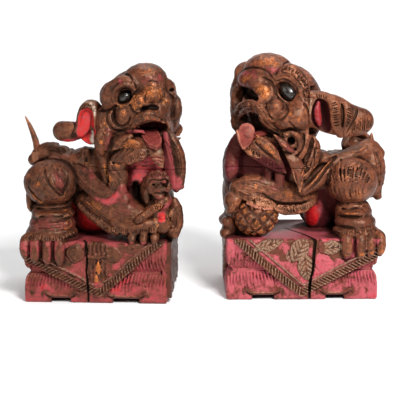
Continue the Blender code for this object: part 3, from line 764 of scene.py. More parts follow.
class Front:
    """Relief of a plinth front, as heights over the (u, z) plane, with paint."""

    def __init__(self, place, u0, u1):
        self.place = place
        self.items = []
        self.u0, self.u1 = u0, u1

    def uz(self, pts):
        return [tuple(self.place.at(p[0], p[1], 0.0)[[0, 2]]) for p in pts]

    def band(self, pts, half, high, period=0.0, notch=0.0, rim=0.0, col=None, soft=0.8):
        self.items.append(("band", self.uz(pts), half, high, period, notch, rim, col, soft))

    def leaf(self, c, r, high, turn=0.0, col=None, veins=0.0, period=3.2, vturn=0.0, flat=0.35):
        (u, z), = self.uz([c])
        self.items.append(("leaf", (u, z), r, high, math.radians(turn), col, veins, period,
                           math.radians(vturn), flat))

    def line(self, pts, half, deep, col=None):
        self.items.append(("line", self.uz(pts), half, deep, col))

    def strokes(self, a, b, n, half, deep, col=None, seed=1, vary=0.25):
        """n strokes from picture line a to picture line b."""
        rng = np.random.default_rng(seed)
        for i in range(n):
            t = (i + 0.5 + 0.25 * rng.uniform(-1, 1)) / n
            p = [a[0][k] + (a[1][k] - a[0][k]) * t for k in (0, 1)]
            q = [b[0][k] + (b[1][k] - b[0][k]) * t for k in (0, 1)]
            e = 1 - rng.uniform(0, vary)
            self.line([p, (p[0] + (q[0] - p[0]) * e, p[1] + (q[1] - p[1]) * e)], half, deep, col)

    def field(self, U, Z):
        shape = np.broadcast_shapes(U.shape, Z.shape)
        x = U + self.lean * np.abs(Z - 38) + 1.6 * noise(U, 0 * U, Z, 12, self.seed + 9)
        tall = 0.7 + 0.6 * noise(np.floor(x / 4.4), 0 * x, 0 * x, 1.0, self.seed + 6)
        fl = self.flute * np.abs(np.cos(np.pi * x / 4.4)) ** 1.6
        fl = fl * ramp(np.abs(Z - 40) / tall, 25, 14) * ramp(np.abs(Z - 40), 2, 4)
        H = slab_profile(np.broadcast_to(Z, shape)) - fl
        C = np.zeros(shape + (4,))
        big, mid = noise(U, 0 * U, Z, 17, self.seed), noise(U, 0 * U, Z, 6, self.seed + 1)
        C[..., 0] = np.minimum(0.74, self.tone + 0.34 * (big - 0.5) + 0.30 * (mid - 0.5) + 0.5 * ramp(big, 0.60, 0.74) * ramp(Z, 34, 18))
        # darker in the valleys of the flutes: painted shade
        C[..., 2] = 0.22 * ramp(mid, 0.55, 0.75) + (0.15 + 0.5 * big) * ramp(fl / self.flute, 0.45, 0.95)
        if self.cloth:
            pts = sorted(self.uz(self.cloth))
            zv = np.interp(U, [p[0] for p in pts], [p[1] for p in pts], left=90, right=90)
            m = ramp(Z - zv, -0.8, 0.8)
            H = H * (1 - m) + (1.6 + 0.8 * (mid - 0.5)) * m
            brown = m * ramp(noise(U, 0 * U, Z, 11, self.seed + 4), 0.62 - self.brown, 0.74 - self.brown)
            C += (np.array((0.16, 0.10, 0.12, 0)) - C) * brown[..., None]
        for it in self.items:
            if it[0] == "band":
                _, pts, half, high, period, notch, rim, col, soft = it
                d, s, side = seg_dist(U, Z, pts)
                m = ramp(half + soft - d, 0, 2 * soft)
                h = np.full(shape, float(high))
                tick = np.zeros(shape)
                if period:
                    tick = np.abs(np.cos(np.pi * (s + 0.7 * side * d + 1.1 * mid) / period)) ** 1.8 * ramp(half - d, 0.2, 1.4)
                    h = h - notch * tick
                if rim:
                    h = h + rim * ramp(-np.abs(d - half + 1.0), -1.1, 0)
                H = H * (1 - m) + h * m
                if col is not None:
                    C += (rgb_pale(col) - C) * m[..., None]
                    # darker in the notches: painted shade
                    C[..., 2] = np.maximum(C[..., 2], (0.30 + 0.5 * mid) * m * ramp(tick, 0.30, 0.9))
                    C[..., 3] = C[..., 3] * (1 - m * ramp(tick, 0.2, 0.7))
            elif it[0] == "leaf":
                _, (u, z), r, high, turn, col, veins, period, vturn, flat = it
                x, y = U - u, Z - z
                a, b = x * math.cos(turn) + y * math.sin(turn), -x * math.sin(turn) + y * math.cos(turn)
                e = np.abs(b / r[1]) / np.maximum(0.05, 1 - 0.55 * np.clip(np.abs(a / r[0]), 0, 1) ** 2)
                q = np.sqrt((a / r[0]) ** 2 + e ** 2) + 0.10 * (noise(U, 0 * U, Z, 5, 77) - 0.5)
                m = ramp(1.0 - q, -0.05, 0.07)
                h = high * (1 - flat * np.clip(q, 0, 1) ** 2)
                vein = np.zeros(shape)
                if veins:
                    v = x * math.cos(vturn) + y * math.sin(vturn)
                    v = v + 1.6 * mid
                    w = np.abs(b) + 2.2 * mid if period < 0 else v
                    vein = np.abs(np.cos(np.pi * (w * 0.9 + (a * 0.8 if period < 0 else 0)) / abs(period))) ** 3 * ramp(1 - q, 0.02, 0.2)
                    if period < 0:
                        vein = np.maximum(vein, 1.2 * ramp(1.1 - np.abs(b), 0, 1) * ramp(1 - q, 0.02, 0.2))
                    h = h - veins * vein
                H = H * (1 - m) + np.maximum(h, 0.6) * m
                H = H - 1.1 * ramp(-np.abs(q - 1.06), -0.10, 0.0) * (high > 0.5)
                if col is not None:
                    k = m * (1 if len(col) > 3 or col[1] < 0.4 else ramp(noise(U, 0 * U, Z, 4.2, self.seed + 7), 0.30, 0.52) * 0.8 + 0.2 * m)
                    C += (rgb_pale(col) - C) * (m * k)[..., None]
                    C += (np.array((0.1, 0.05, 0.35, 0)) - C) * (m * (1 - k))[..., None]
                    # darker along the veins: painted shade in them
                    C[..., 2] = np.maximum(C[..., 2], (0.15 + 0.6 * mid) * m * ramp(vein, 0.3, 1.0))
                    C[..., 3] = C[..., 3] * (1 - 0.8 * m * ramp(vein, 0.2, 0.8))
            else:
                _, pts, half, deep, col = it
                d, s, _ = seg_dist(U, Z, pts)
                m = ramp(half - d, -0.4 * half, 0.9 * half)
                H = H - deep * m
                # col paints the line; its dark part is painted shade in the groove
                if col is not None:
                    C += (rgb_pale(col) - C) * (m[..., None] * 0.9)
        return H, np.clip(C, 0, 1)


def slab_profile(Z):
    """Inset of the plinth's sides: rolled shoulder below a waist, rolled underside above it."""
    low = 6.8 * (1 - np.sqrt(np.clip(1 - np.clip((Z - 24.5) / 13.5, 0, 1) ** 2, 0, 1)))
    top = 6.8 * (1 - np.sqrt(np.clip(1 - np.clip((57.5 - Z) / 15.0, 0, 1) ** 2, 0, 1)))
    gap = 0.8 * ramp(-np.abs(Z - 40.2), -2.2, -0.9)
    return -np.where(Z < 40.2, low, top) - gap + 0.0 * Z


def plinth(F, front, u0, u1, depth, crack, recess, paws=()):
    """Cushion plinth: two rolled slabs, waist, hanging cloths, fluted rolls and hook feet."""
    inset = 11.0

    def sides(X, Y, Z):
        p = slab_profile(Z)
        fx = 1.8 * np.abs(np.cos(np.pi * Y / 4.7)) ** 1.6 * ramp(np.abs(Z - 40), 25, 15)
        fy = 1.8 * np.abs(np.cos(np.pi * X / 4.7)) ** 1.6 * ramp(np.abs(Z - 40), 25, 15)
        ex = np.minimum(X - u0, u1 - X)
        ey = depth - Y
        return p - np.where(ex < ey, fx, fy)

    def relief(X, Y, Z):
        H, _ = front.field(X[:, :, 0], Z[:, 0, :])
        H = H[:, None, :]
        w = ramp(Y - np.minimum(X - u0, u1 - X), 7, -1) * ramp(Y, 26, 14)
        s = sides(X, Y, Z)
        edge = ramp(X, u0 + 0.5, u0 + 4) * ramp(X, u1 - 0.5, u1 - 4) * ramp(Z, 0.5, 3) * ramp(Z, 81.5, 79)
        return s * (1 - w) + w * np.where(H > 0, H * edge, H)

    F.add(Box((u0, 1.2, 0), (u1, depth, 81.5), 3.0, relief), 0.8, (0.55, 0, 0))
    # paint: end faces and back first, then the front face
    sl, X, Y, Z = F.grab((u0 - 2, -8, -2), (u1 + 2, depth + 3, 83))
    nz = noise(X, Y, Z, 14, front.seed + 3)
    F.C["red"][sl] = np.clip(front.tone + 0.5 * (nz - 0.5), 0, 1)
    F.C["gold"][sl] = 0
    F.C["dark"][sl] = 0.35 * ramp(nz, 0.6, 0.8)
    sl, X, Y, Z = F.grab((u0 - 2, -8, -2), (u1 + 2, 12, 83))
    _, C = front.field(X[:, :, 0], Z[:, 0, :])
    for i, c in enumerate((*CH, "pale")):
        F.C[c][sl] = np.broadcast_to(C[:, None, :, i], F.C[c][sl].shape)
    # rough pointed cloth over each end
    for u, s in ((u0, -1), (u1, 1)):
        wide = front.place is LEFT and s > 0
        out = 6.6 if wide else 3.4

        def q_of(Y, Z):
            if wide:
                return np.maximum(np.abs(Y - 64) / 60, (82 - Z) / 74 + 0.12 * (noise(0 * Y, Y, 0 * Y, 14, 8) - 0.5))
            return np.abs(Y - depth * 0.46) / 50 + (82 - Z) / 72

        def cloth(X, Y, Z):
            q = q_of(Y, Z)
            rim = np.abs(q - 0.90)
            h = -1.4 + 1.8 * (noise(0 * X, Y, Z, 5.0, 41) - 0.5) - 1.3 * ramp(rim, 0.07, 0.0) * np.abs(np.cos(np.pi * (Y + Z) / 4.2)) ** 2
            return h - 9 * ramp(q, 0.97, 1.03)
        F.add(Box((u - out if s < 0 else u - 8, 3, 5), (u + 8 if s < 0 else u + out, depth - 4, 81), 1.0, cloth), 0.6, None)
        g = F.grab((u - 8, 5, 5), (u + 8, depth - 6, 82))
        sl, X, Y, Z = g
        w = np.broadcast_to(ramp(q_of(Y, Z), 1.02, 0.97) * (ramp(X, u + 3, u) if s < 0 else ramp(X, u - 3, u)), F.C["red"][sl].shape)
        F.paint(sl, w, (0.16, 0.08, 0.40) if wide else (0.10, 0.10, 0.15))
    # recesses between the feet, under a bar with hooked ends; the recesses and grooves painted darker as shade
    for m, half in recess:
        for y0, y1, yf in ((-6, 14, 1.2), (depth - 14, depth + 6, depth)):
            sgn = -1 if y0 < 0 else 1
            F.cut(Box((m - half, y0, -8), (m + half, y1, 6.6), 2.5), 1.0, (0.30, 0, 0.75))
            for s in (-1, 1):
                e = m + s * half
                hook = [(e - s * 3, yf + sgn * 0.3, 9.4), (e + s * 3.2, yf + sgn * 0.8, 11.2), (e + s * 7.6, yf + sgn * 1.0, 14.6), (e + s * 11.6, yf + sgn * 0.9, 13.0), (e + s * 11.0, yf + sgn * 0.4, 8.4)]
                F.cut(Tube([(e + s * 1.0, yf + sgn * 1.0, 7.0), (e + s * 5.5, yf + sgn * 1.0, 9.8), (e + s * 8.6, yf + sgn * 1.0, 9.0)], [2.0, 1.9, 1.0], far=4), 0.7, (0.2, 0, 0.5))
                F.cut(Tube([(e - s * 2, yf + sgn * 1.0, 12.6), (e + s * 4, yf + sgn * 1.0, 15.4), (e + s * 8.0, yf + sgn * 1.0, 18.0), (e + s * 13, yf + sgn * 1.0, 16.4)], [0.9, 1.3, 1.2, 0.7], far=4), 0.7, (0.2, 0, 0.35))
                F.add(Tube(hook, [1.5, 1.6, 1.7, 1.6, 1.0]), 0.8, (0.22, 0.18, 0.0))
            F.add(Tube([(m - half + 2, yf + sgn * 0.3, 9.2), (m + half - 2, yf + sgn * 0.3, 9.2)], 1.4), 0.8, (0.25, 0.12, 0.05))
    if crack:
        (ua, za), (ub, zb), w = crack
        F.cut(Tube([(ua + 0.4, -4, za + 2), (ua - 0.3, -1, za - 6), (ua + 1.0, -1, za - 22), ((ua + ub) / 2 - 0.4, -2, (za + zb) / 2), (ub + 0.8, -2, zb + 20), (ub, -2, zb - 2)],
                   [w, w * 1.1, w, w * 0.8, w * 0.9, w * 0.7], t=7.0, nrm=(0, 1, 0.02), far=9), 0.3, (0.05, 0, 1))
    F.tint(Box((u0 - 2, 4, 80), (u1 + 2, depth + 2, 83), 1), (0.52, 0.0, 0.24), 1.0)


def front_left():
    f = Front(LEFT, -95, 90.5)
    V = [(20, 254.5), (30, 261), (48.5, 269.5), (65.2, 277.5), (85.3, 287.4), (99.5, 293.0), (107.6, 286.5), (126.6, 270.5), (143.3, 255.2), (161.5, 241.0)]
    inner = [(20, 248), (48.5, 261.5), (65.2, 270.0), (83.3, 279.4), (88, 283), (98, 285.5), (109.4, 278.5), (126, 263.5), (140, 251.0), (151, 242.5)]
    f.cloth, f.tone, f.seed, f.flute, f.lean, f.brown = V, 0.50, 51, 2.7, 0.18, 0.03
    f.leaf((75.5, 253.5), (13.5, 12.5), 4.2, 80, (0.14, 0.38, 0.0, 0.12), flat=0.25)
    f.leaf((75.5, 252.9), (9.5, 8.0), 5.0, 80, (0.10, 0.22, 0.1), flat=0.1)
    f.leaf((112.5, 254.8), (13, 10.5), 3.4, -10, (0.10, 0.30, 0.05), veins=0.4, period=3, vturn=60)
    f.leaf((134.5, 248.8), (15, 8.5), 3.2, 10, (0.14, 0.34, 0.0), veins=0.9, period=-5)
    f.leaf((116.0, 266.5), (7, 4.5), 2.4, 40, (0.62, 0.1, 0.0))
    # tassel
    f.leaf((97.2, 249.0), (17.5, 10.5), 3.6, 0, (0.14, 0.16, 0.0, 0.15), veins=2.6, period=4.8)
    f.leaf((97.6, 271.5), (14.8, 23.5), 3.6, 0, (0.16, 0.16, 0.0, 0.15), veins=2.3, period=4.6)
    f.leaf((97.8, 276.5), (10.0, 16.0), 5.0, 0, (0.22, 0.50, 0.0), veins=2.0, period=4.4)
    f.leaf((98.6, 268.0), (3.6, 9.5), 5.8, 0, (0.15, 0.95, 0.0, 0.0))
    f.leaf((96.6, 279.5), (3.4, 8.0), 5.8, 0, (0.20, 0.85, 0.0, 0.0))
    f.leaf((97.4, 284.5), (8.5, 3.2), 4.6, 0, (0.85, 0.25, 0.0))
    f.band([(88, 256.0), (97, 257.6), (107, 256.0)], 2.2, 4.8, col=(0.12, 0.25, 0.0))
    f.band(V, 5.0, 5.0, 4.6, 2.8, 0.6, (0.10, 0.16, 0.0, 0.24))
    f.band(inner, 1.3, 3.6, col=(0.22, 0.12, 0.0, 0.22))
    f.strokes(((28, 262), (41, 268)), ((30, 271), (50, 274)), 8, 0.8, 1.4, (0.5, 0, 0.4), 6)
    f.strokes(((138, 262), (162, 246)), ((140, 269), (161, 268)), 8, 0.9, 1.5, (0.5, 0, 0.35), 5)
    f.line([(165.4, 277), (165.2, 288), (165.8, 299)], 0.8, -1.5, (0.35, 0.6, 0))
    f.line([(122, 285.5), (133, 283.5), (146, 288.0)], 0.9, 1.0, (0.3, 0, 0.5))
    return f


def front_right():
    f = Front(RIGHT, -103.5, 95)
    V = [(232.6, 234.0), (242.0, 243.6), (259.0, 259.0), (281.5, 277.4), (301.6, 292.3), (315.4, 284.5), (337.8, 273.0), (360, 262.6), (381, 251.5)]
    inner = [(243, 235.0), (252, 241.8), (265, 252.5), (285, 269.5), (303.0, 285.0), (316, 278.0), (338, 266.4), (356, 257.6), (380, 245)]
    f.cloth, f.tone, f.seed, f.flute, f.lean, f.brown = V, 0.56, 67, 2.8, 0.12, -0.06
    f.leaf((268.5, 245.0), (20.5, 8.5), 3.8, -18, (0.12, 0.16, 0.0, 0.46), veins=1.0, period=-5.5)
    f.leaf((290.0, 256.5), (9.0, 5.5), 3.0, 75, (0.25, 0.2, 0.0, 0.40), veins=0.8, period=-5)
    f.leaf((299.5, 249.5), (18.5, 12.5), 5.0, -62, (0.12, 0.14, 0.0, 0.42), veins=1.2, period=-5.5)
    f.leaf((306.0, 267.0), (18.5, 11.5), 4.6, 82, (0.1, 0.26, 0.0, 0.44), veins=1.0, period=-5.5)
    f.leaf((331.0, 247.5), (16.5, 9.5), 4.4, -8, (0.1, 0.22, 0.0, 0.48), veins=1.0, period=-5.0)
    f.leaf((321.5, 247.0), (11, 4.5), 3.6, 80, (0.45, 0.4, 0.0))
    f.leaf((324.5, 264.0), (17, 11.5), 3.0, 55, (0.66, 0.05, 0.0), veins=0.8, period=-6)
    f.leaf((341, 262), (9, 5), 2.6, 25, (0.6, 0.2, 0.0), veins=0.4, period=-4)
    f.band(V, 5.3, 5.2, 4.6, 3.0, 0.7, (0.10, 0.14, 0.0, 0.34))
    f.band(inner, 1.4, 4.2, col=(0.25, 0.12, 0.0, 0.34))
    f.strokes(((234, 247), (250, 261)), ((235, 258), (244, 263)), 8, 0.9, 1.6, (0.5, 0, 0.35), 5)
    f.strokes(((345, 270), (376, 258)), ((347, 272), (376, 267)), 8, 0.8, 1.2, (0.5, 0, 0.3), 8)
    f.line([(366.5, 288), (367, 299)], 0.6, 1.3, (0.3, 0, 0.6))
    f.line([(343.4, 242), (344.0, 250), (346, 259)], 0.9, 1.2, (0.3, 0, 0.6))
    return f


# ------------------------------------------------------------------ shared carving
# DARK sets the dark channel: painted shade in hollows, slots and nostrils, and the dark of cracks
RED, UMB, PINK, GOLD, DARK = (1, 0, 0), (0, 0, 0), (0.6, 0, 0), (0.05, 0.9, 0), (0.1, 0, 1)
SEAM_Z, SEAM_U, JOWL_Z, JOWL_U = 173.5, -18.5, 197.0, -58.0


def saw(F):
    """Signed distance of the head block's side of the stepped joint (negative in the head)."""
    X, Z = F.ax[0][:, None, None], F.ax[2][None, None, :]
    a = np.maximum(SEAM_U - X, SEAM_Z - Z)
    b = np.maximum(JOWL_U - X, JOWL_Z - Z)
    return np.broadcast_to(np.minimum(a, b), F.D.shape)


class Slab:
    """Turned box with axes d, side, up."""

    def __init__(self, c, size, d, rnd=0.5):
        d = np.array(d, float)
        d /= np.linalg.norm(d)
        up = np.array((0, 0, 1.0))
        self.A = np.array((d, np.cross(up, d), up))
        self.c, self.h, self.rnd = np.array(c, float), np.array(size, float) / 2, rnd
        e = (np.abs(self.A) * self.h[:, None]).sum(0)
        self.lo, self.hi = self.c - e, self.c + e

    def __call__(self, X, Y, Z):
        x, y, z = X - self.c[0], Y - self.c[1], Z - self.c[2]
        q = [np.abs(self.A[i, 0] * x + self.A[i, 1] * y + self.A[i, 2] * z) - self.h[i] + self.rnd for i in range(3)]
        out = np.sqrt(sum(np.maximum(v, 0) ** 2 for v in q))
        return out + np.minimum(np.maximum(np.maximum(q[0], q[1]), q[2]), 0) - self.rnd


def ear_seat(F, root, d, boss, size=(44, 60)):
    root, d = np.array(root, float), np.array(d, float)
    d /= np.linalg.norm(d)
    side = np.cross((0, 0, 1), d)
    F.add(Ell(root - d * 9, boss, np.array((d, side, (0, 0, 1)))), 3)


def ear_room(F, root, d, size=(44, 60)):
    root, d = np.array(root, float), np.array(d, float)
    d /= np.linalg.norm(d)
    F.cut(Slab(root + d * (30 - 0.15), (60, *size), d), 0.3)
    F.cut(Slab(root - d * 8.3, (22.6, 11.8, 16.8), d), 0.3, (0, 0, 0.8))


def hair_ball(c, r, pole, n, amp, seed, low=-2.0, power=3.0, wob=0.5):
    """Ball whose surface is combed from a pole."""
    pole = np.array(pole, float)
    pole /= np.linalg.norm(pole)
    e1 = np.cross(pole, (0.3, 1, 0.1))
    e1 /= np.linalg.norm(e1)
    e2 = np.cross(pole, e1)

    def disp(x, y, z, q):
        a = x * e1[0] + y * e1[1] + z * e1[2]
        b = x * e2[0] + y * e2[1] + z * e2[2]
        p = x * pole[0] + y * pole[1] + z * pole[2]
        phi = np.arctan2(a, b)
        w = wob * (noise(x, y, z, 0.35, seed) - 0.5) + 0.35 * np.sin(3.0 * p + 2 * np.sin(phi * 2))
        v = n * phi / (2 * np.pi) + w
        tall = 0.6 + 0.8 * noise(np.floor(v), 0 * v, 0 * v, 1.0, seed + 1)
        m = ramp(p, low - 0.25, low + 0.1) * ramp(1.0 - np.abs(p), 0.0, 0.12)
        return -amp * tall * np.abs(np.cos(np.pi * v)) ** power * m
    return Ell(c, r, disp=disp, reach=0.5)


# ------------------------------------------------------------------ left lion
LEFT_OUTER = ((3.5, 30.0, 230.0), (-0.97, 0.243, 0.0))
LEFT_INNER = ((88.0, 84.0, 236.0), (-0.05, 0.999, 0.0))
RIGHT_OUTER = ((-11.0, 18.0, 246.0), (-0.985, -0.17, 0.0))
RIGHT_INNER = ((50.0, 106.0, 246.0), (-0.6, 0.8, 0.0))
LH = Head(LEFT, (59.5, 46.0, 261.0), 17.0, 0.0, -2.0, 1.06)
RH = Head(RIGHT, (23.0, 62.0, 262.0), 53.0, 11.0, 4.0, 1.19)


def P_f(h, p, f):
    """Statue point of picture point p at forward distance f of a head."""
    pl = h.place
    a, b = pl.at(p[0], p[1], -60.0), pl.at(p[0], p[1], 120.0)
    fa, fb = h.back(a)[1], h.back(b)[1]
    t = (f - fa) / (fb - fa)
    return a + (b - a) * t


def slanted(head, a, deg):
    """Centre, radii and axes of a long eye; a is its side."""
    t = math.radians(deg)
    s = 1 if a > 0 else -1
    out = head.a * 0.78 * s - head.f * 0.62
    out = out / np.linalg.norm(out)
    deep = np.cross(out, head.c)
    deep = deep * (1 if deep @ head.f > 0 else -1)
    long = out * math.cos(t) - head.c * math.sin(t)
    mid = P_f(head, (288.8, 92.2), 14.2) if a > 0 else head.at(a, 16.5, 4.8)
    return mid, np.array((13.8, 9.0, 8.8)), np.array((long, deep, np.cross(long, deep)))


def tilted(head, p, f, r, deg):
    """Eye at picture point p and forward distance f, its long axis turned by deg."""
    t = math.radians(deg)
    ax = np.array((-math.cos(t) * head.a + math.sin(t) * head.c, head.f, math.sin(t) * head.a + math.cos(t) * head.c))
    return P_f(head, p, f), np.array(r, float), ax


EYES_AT = {"left_outer": tilted(LH, (124.8, 96.4), 19.0, (11.2, 9.0, 7.0), 22),
           "left_inner": tilted(LH, (169.6, 89.4), 9.0, (3.8, 8, 1.5), 0),
           "right_outer": slanted(RH, 27, 42), "right_inner": slanted(RH, -27, 42)}


def left_field():
    F = Field((-129, -17, -2.5), (124, 146, 322), STEP)
    h, c, A = LH, Carver(F, LEFT), F.add
    P = LEFT.at

    def B(px, py, f, r, k=2.0, col=None, tilt=0.0):
        ax = h.axes
        if tilt:
            t = math.radians(tilt)
            ax = np.array((math.cos(t) * h.a - math.sin(t) * h.c, h.f, math.sin(t) * h.a + math.cos(t) * h.c))
        A(Ell(P_f(h, (px, py), f), r, ax), k, UMB if col is None else col)

    def roll(pts, r, k=1.5, col=UMB, t=None, nrm=None):
        A(Tube([P_f(h, p[:2], p[2]) for p in pts], r, t, nrm), k, col)

    # --- trunk, rump, far side
    A(Ell((0, 78, 146), (74, 34, 34)), 1)
    A(Ell((-58, 84, 138), (37, 38, 48)), 8)
    A(Ell((-65, 84, 164), (24, 27, 25)), 6)
    A(Ell((-40, 100, 116), (42, 27, 44)), 6)
    A(Ell((-44, 108, 92), (34, 18, 16)), 5)
    A(Ell((-18, 68, 168), (24, 29, 26)), 8)
    A(Ell(P(86, 170, 60), (30, 26, 30)), 8)
    A(Ell((56, 70, 122), (38, 35, 46)), 8)
    A(Tube([(56, 66, 130), (57, 62, 172), (60, 56, 226)], [37, 35, 35]), 8)
    A(Tube([(58, 100, 150), (62, 104, 92)], [24, 21]), 6)
    A(Ell((64, 102, 88), (30, 25, 12)), 4)
    # spine ridge, back curls and combed nape
    A(Tube([(-60, 96, 186), (-30, 92, 182), (0, 88, 180), (26, 92, 188), (44, 98, 210)], [7, 6, 6, 7, 8], disp=ticks(9, 1.6, 1.5)), 4)
    back_curls(F, ((-44, 104), (-22, 106), (0, 106), (22, 106)), 170)
    # --- belly, red
    A(Ell((-14, 74, 108), (27, 27, 38)), 5, RED)
    F.tint(Ell((-8, 56, 104), (38, 44, 34)), RED, 3)
    # --- head masses
    A(h.ell((5, -4, 0), (43, 38, 37)), 5)
    A(h.ell((9, 0, -24), (41, 32, 22)), 6)
    A(h.ell((4, -24, -16), (38, 26, 42)), 8)
    A(h.ell((1, 14, 24.5), (26.5, 24, 19.5)), 2.5)
    A(h.ell((2, 18, -12), (30, 23, 20)), 5)
    A(h.ell((0, 6, -48), (26, 22, 10)), 5)
    ear_seat(F, *LEFT_OUTER, (16, 16, 25))
    ear_seat(F, *LEFT_INNER, (16, 15, 24))
    nape(F, (58, 84), ((36, 250), (58, 264), (80, 250), (28, 226), (50, 236), (72, 234), (92, 216), (34, 202), (56, 208), (78, 206), (46, 182), (68, 182)))
    # cheek pad, jaw lobe, muzzle
    B(106, 121.5, 7, (12, 17, 17), 4)
    B(112, 128.0, 12, (14, 13, 9), 4)
    B(149, 112, 25, (24, 18, 10), 4)
    B(150, 121, 18, (27, 20, 12), 4)
    B(175.5, 108, 2, (8.5, 14, 18), 4)
    # near brow: smooth hood with a thick rolled lid
    B(112.8, 96, 9, (16.8, 20, 18.5), 3)
    roll([(134.8, 92, 32), (133.0, 85.5, 33), (127.5, 81.6, 32), (119.6, 82.6, 29), (112.6, 87.5, 26), (108.6, 94.5, 23), (107.2, 100.5, 20), (107.6, 105, 16)],
         [3.0, 5.4, 7.0, 7.8, 8.6, 8.6, 8.2, 7], 5)
    # far brow, nearly closed over its eye
    roll([(161.5, 86, 26), (163.6, 82.6, 22), (167.5, 83.6, 16), (170.8, 88, 10), (172.8, 94.5, 4)], [4.0, 6.0, 7.0, 7, 5], 2.5)
    B(169.5, 95.5, 15, (8.5, 10, 8.0), 3)
    # nose: bridge, broad bulb and two heavy wings
    B(152.5, 83.5, 27, (13, 14, 9), 4)
    B(152.8, 93.0, 35, (14.0, 12.5, 12.0), 3, (0, 0.5, 0))
    B(139.8, 101.3, 31, (12.0, 12.5, 11.4), 3.0, (0, 0.5, 0))
    B(164.3, 102.5, 25, (8.5, 12, 12.0), 3.0, (0, 0.35, 0))
    B(123.3, 113.4, 19, (10.4, 11.5, 13.0), 1.2, (0, 0.35, 0))
    F.blur(2)
    # nostrils, painted near-black as shade
    F.cut(Ell(P_f(h, (153.5, 108.2), 46), (11.0, 12, 4.0), h.axes), 1.2, DARK)
    F.cut(Ell(P_f(h, (145.5, 109.6), 40), (5.5, 9, 3.6), h.axes), 1.2, DARK)
    # upper lip: two parallel rolls
    up = [(128.0, 128.5, 21), (131.5, 123.6, 28), (136.0, 118.9, 35), (141.8, 115.3, 41), (148.5, 113.4, 43), (155.5, 114.2, 42), (161.3, 117.6, 37), (165.5, 122.8, 30), (168.0, 130, 20)]
    roll(up, [3.2, 3.9, 4.3, 4.5, 4.5, 4.4, 4.2, 3.8, 3.4], 1.5, (0, 0.3, 0))
    lo = [(131.5, 130.3, 26), (135.6, 124.9, 33), (141.6, 120.2, 39), (148.7, 117.9, 42), (155.4, 118.7, 41), (160.6, 121.8, 36), (164.2, 126.6, 30), (166.0, 132.5, 20)]
    roll(lo, [2.3, 2.7, 2.9, 2.9, 2.9, 2.8, 2.6, 2.2], 0.7, (0.2, 0.35, 0))
    # mouth, its inside painted near-black as shade
    F.cut(h.ell((-1, 32, -34.0), (19.5, 27, 9.4)), 1.2, (0.30, 0, 0.95))
    F.cut(Tube([h.at(0, 46, -33), h.at(0, 12, -38)], [11, 11], [5.5, 5.5], h.c), 1, (0.30, 0, 0.95))
    for i in range(8):
        t = i / 7
        px, py = 138.5 + 23 * t, 126.3 - 4.6 * math.sin(math.pi * min(1, t * 1.05))
        A(Ell(P_f(h, (px, py), 36 - 7 * abs(t - 0.45) * 2), (1.7, 2.2, 2.6)), 0.4, (0.15, 0.15, 0.35))
    # lower lip, with painted shade in the hollow behind it
    F.cut(Ell(P_f(h, (152.0, 128.0), 30), (13.5, 20, 8.2)), 1.2, (0.25, 0, 1))
    roll([(128.5, 130.0, 22), (132.0, 131.6, 26), (136.5, 131.2, 28), (141.0, 131.6, 28), (144.5, 133.6, 27)], [3.0, 3.4, 3.2, 2.9, 2.0], 1.2, (0.62, 0, 0.2))
    roll([(167, 131.5, 18), (165.6, 136.5, 20), (161.5, 139.5, 22)], [3.4, 3.6, 2.8], 1.5, (0.4, 0, 0.1))
    # --- neck column and mane locks behind the jaw
    A(Tube([h.at(30, -6, -38), (18, 48, 196), (12, 50, 172), (16, 50, 146)], [27, 25, 22, 16]), 6)
    A(Tube([P(99.5, 133, 26), P(102.5, 148, 28), P(106, 164, 30), P(109, 182, 30)], [9, 11, 10, 8]), 4)
    A(Tube([P(101.5, 131, 12), P(99.5, 140, 10), P(100.3, 148, 13), P(103.6, 157, 19)], [6.0, 7.0, 6, 2], [6, 7, 6, 2], (-0.2, -1, 0)), 0.8, (0, 0.2, 0))
    A(Tube([P(108.5, 131, 10), P(107.6, 140, 10), P(106.0, 149, 14)], [5.0, 5.5, 2.5], [5, 5.5, 2.5], (-0.1, -1, 0)), 0.7, (0.3, 0.05, 0.2))
    A(Tube([P(86, 152, 46), P(90, 163, 46), P(98, 175, 46)], [8, 9, 8]), 6)
    # chest under the beard: red
    A(Ell((66, 46, 184), (35, 30, 34)), 4, (0.72, 0, 0.1))
    A(Ell((60, 50, 158), (38, 32, 30)), 5, (0.72, 0, 0.1))
    F.tint(Ell((64, 30, 172), (44, 34, 40)), (0.72, 0, 0.05), 3)
    # --- beard: one thick flowing mass, corner leaf, gold block, fringe
    A(Tube([P(145, 146, 12), P(139, 145.5, 8), P(132.5, 148.5, 6), P(126, 153, 8), P(119.5, 158.5, 12)], [7, 10.5, 12.5, 12, 8], [7, 9, 10, 9, 7], (0, -1, 0.2)), 2.5, (0, 0.15, 0))
    A(Tube([P(130.5, 136.6, 1), P(125.0, 140.0, -1), P(118.5, 144.5, 0), P(112.6, 149.6, 4)], [4.0, 7.0, 6.0, 1.2], [4, 4, 4, 1.2], (0, -1, 0.3)), 0.6, (0.05, 0.2, 0))
    A(Tube([P(150, 149, 7), P(144.5, 153.0, 2.5), P(138.0, 156.2, 1), P(130.5, 158.8, 2), P(124.0, 161.6, 6)], [4.0, 6.5, 7.5, 7.5, 3], [3.5, 4.5, 5, 5, 3], (0, -1, 0.15)), 0.8, (0, 0.08, 0))
    A(Tube([P(126.0, 144.8, -4), P(132.0, 143.4, -5), P(138.5, 144.6, -3)], [4.2, 5.4, 4.0], [3, 3.4, 3], (0, -1, 0)), 1.5, (0, 0.55, 0))
    # second pointed leaf under the tongue
    A(Tube([P(149, 141, 12), P(154.5, 150, 3), P(159.0, 159, 0), P(163.2, 168.6, 2)], [9, 10, 7.5, 1.0], [4, 3.5, 3, 1.0], (0.3, -1, 0.1)), 0.6, (0, 0, 0.1))
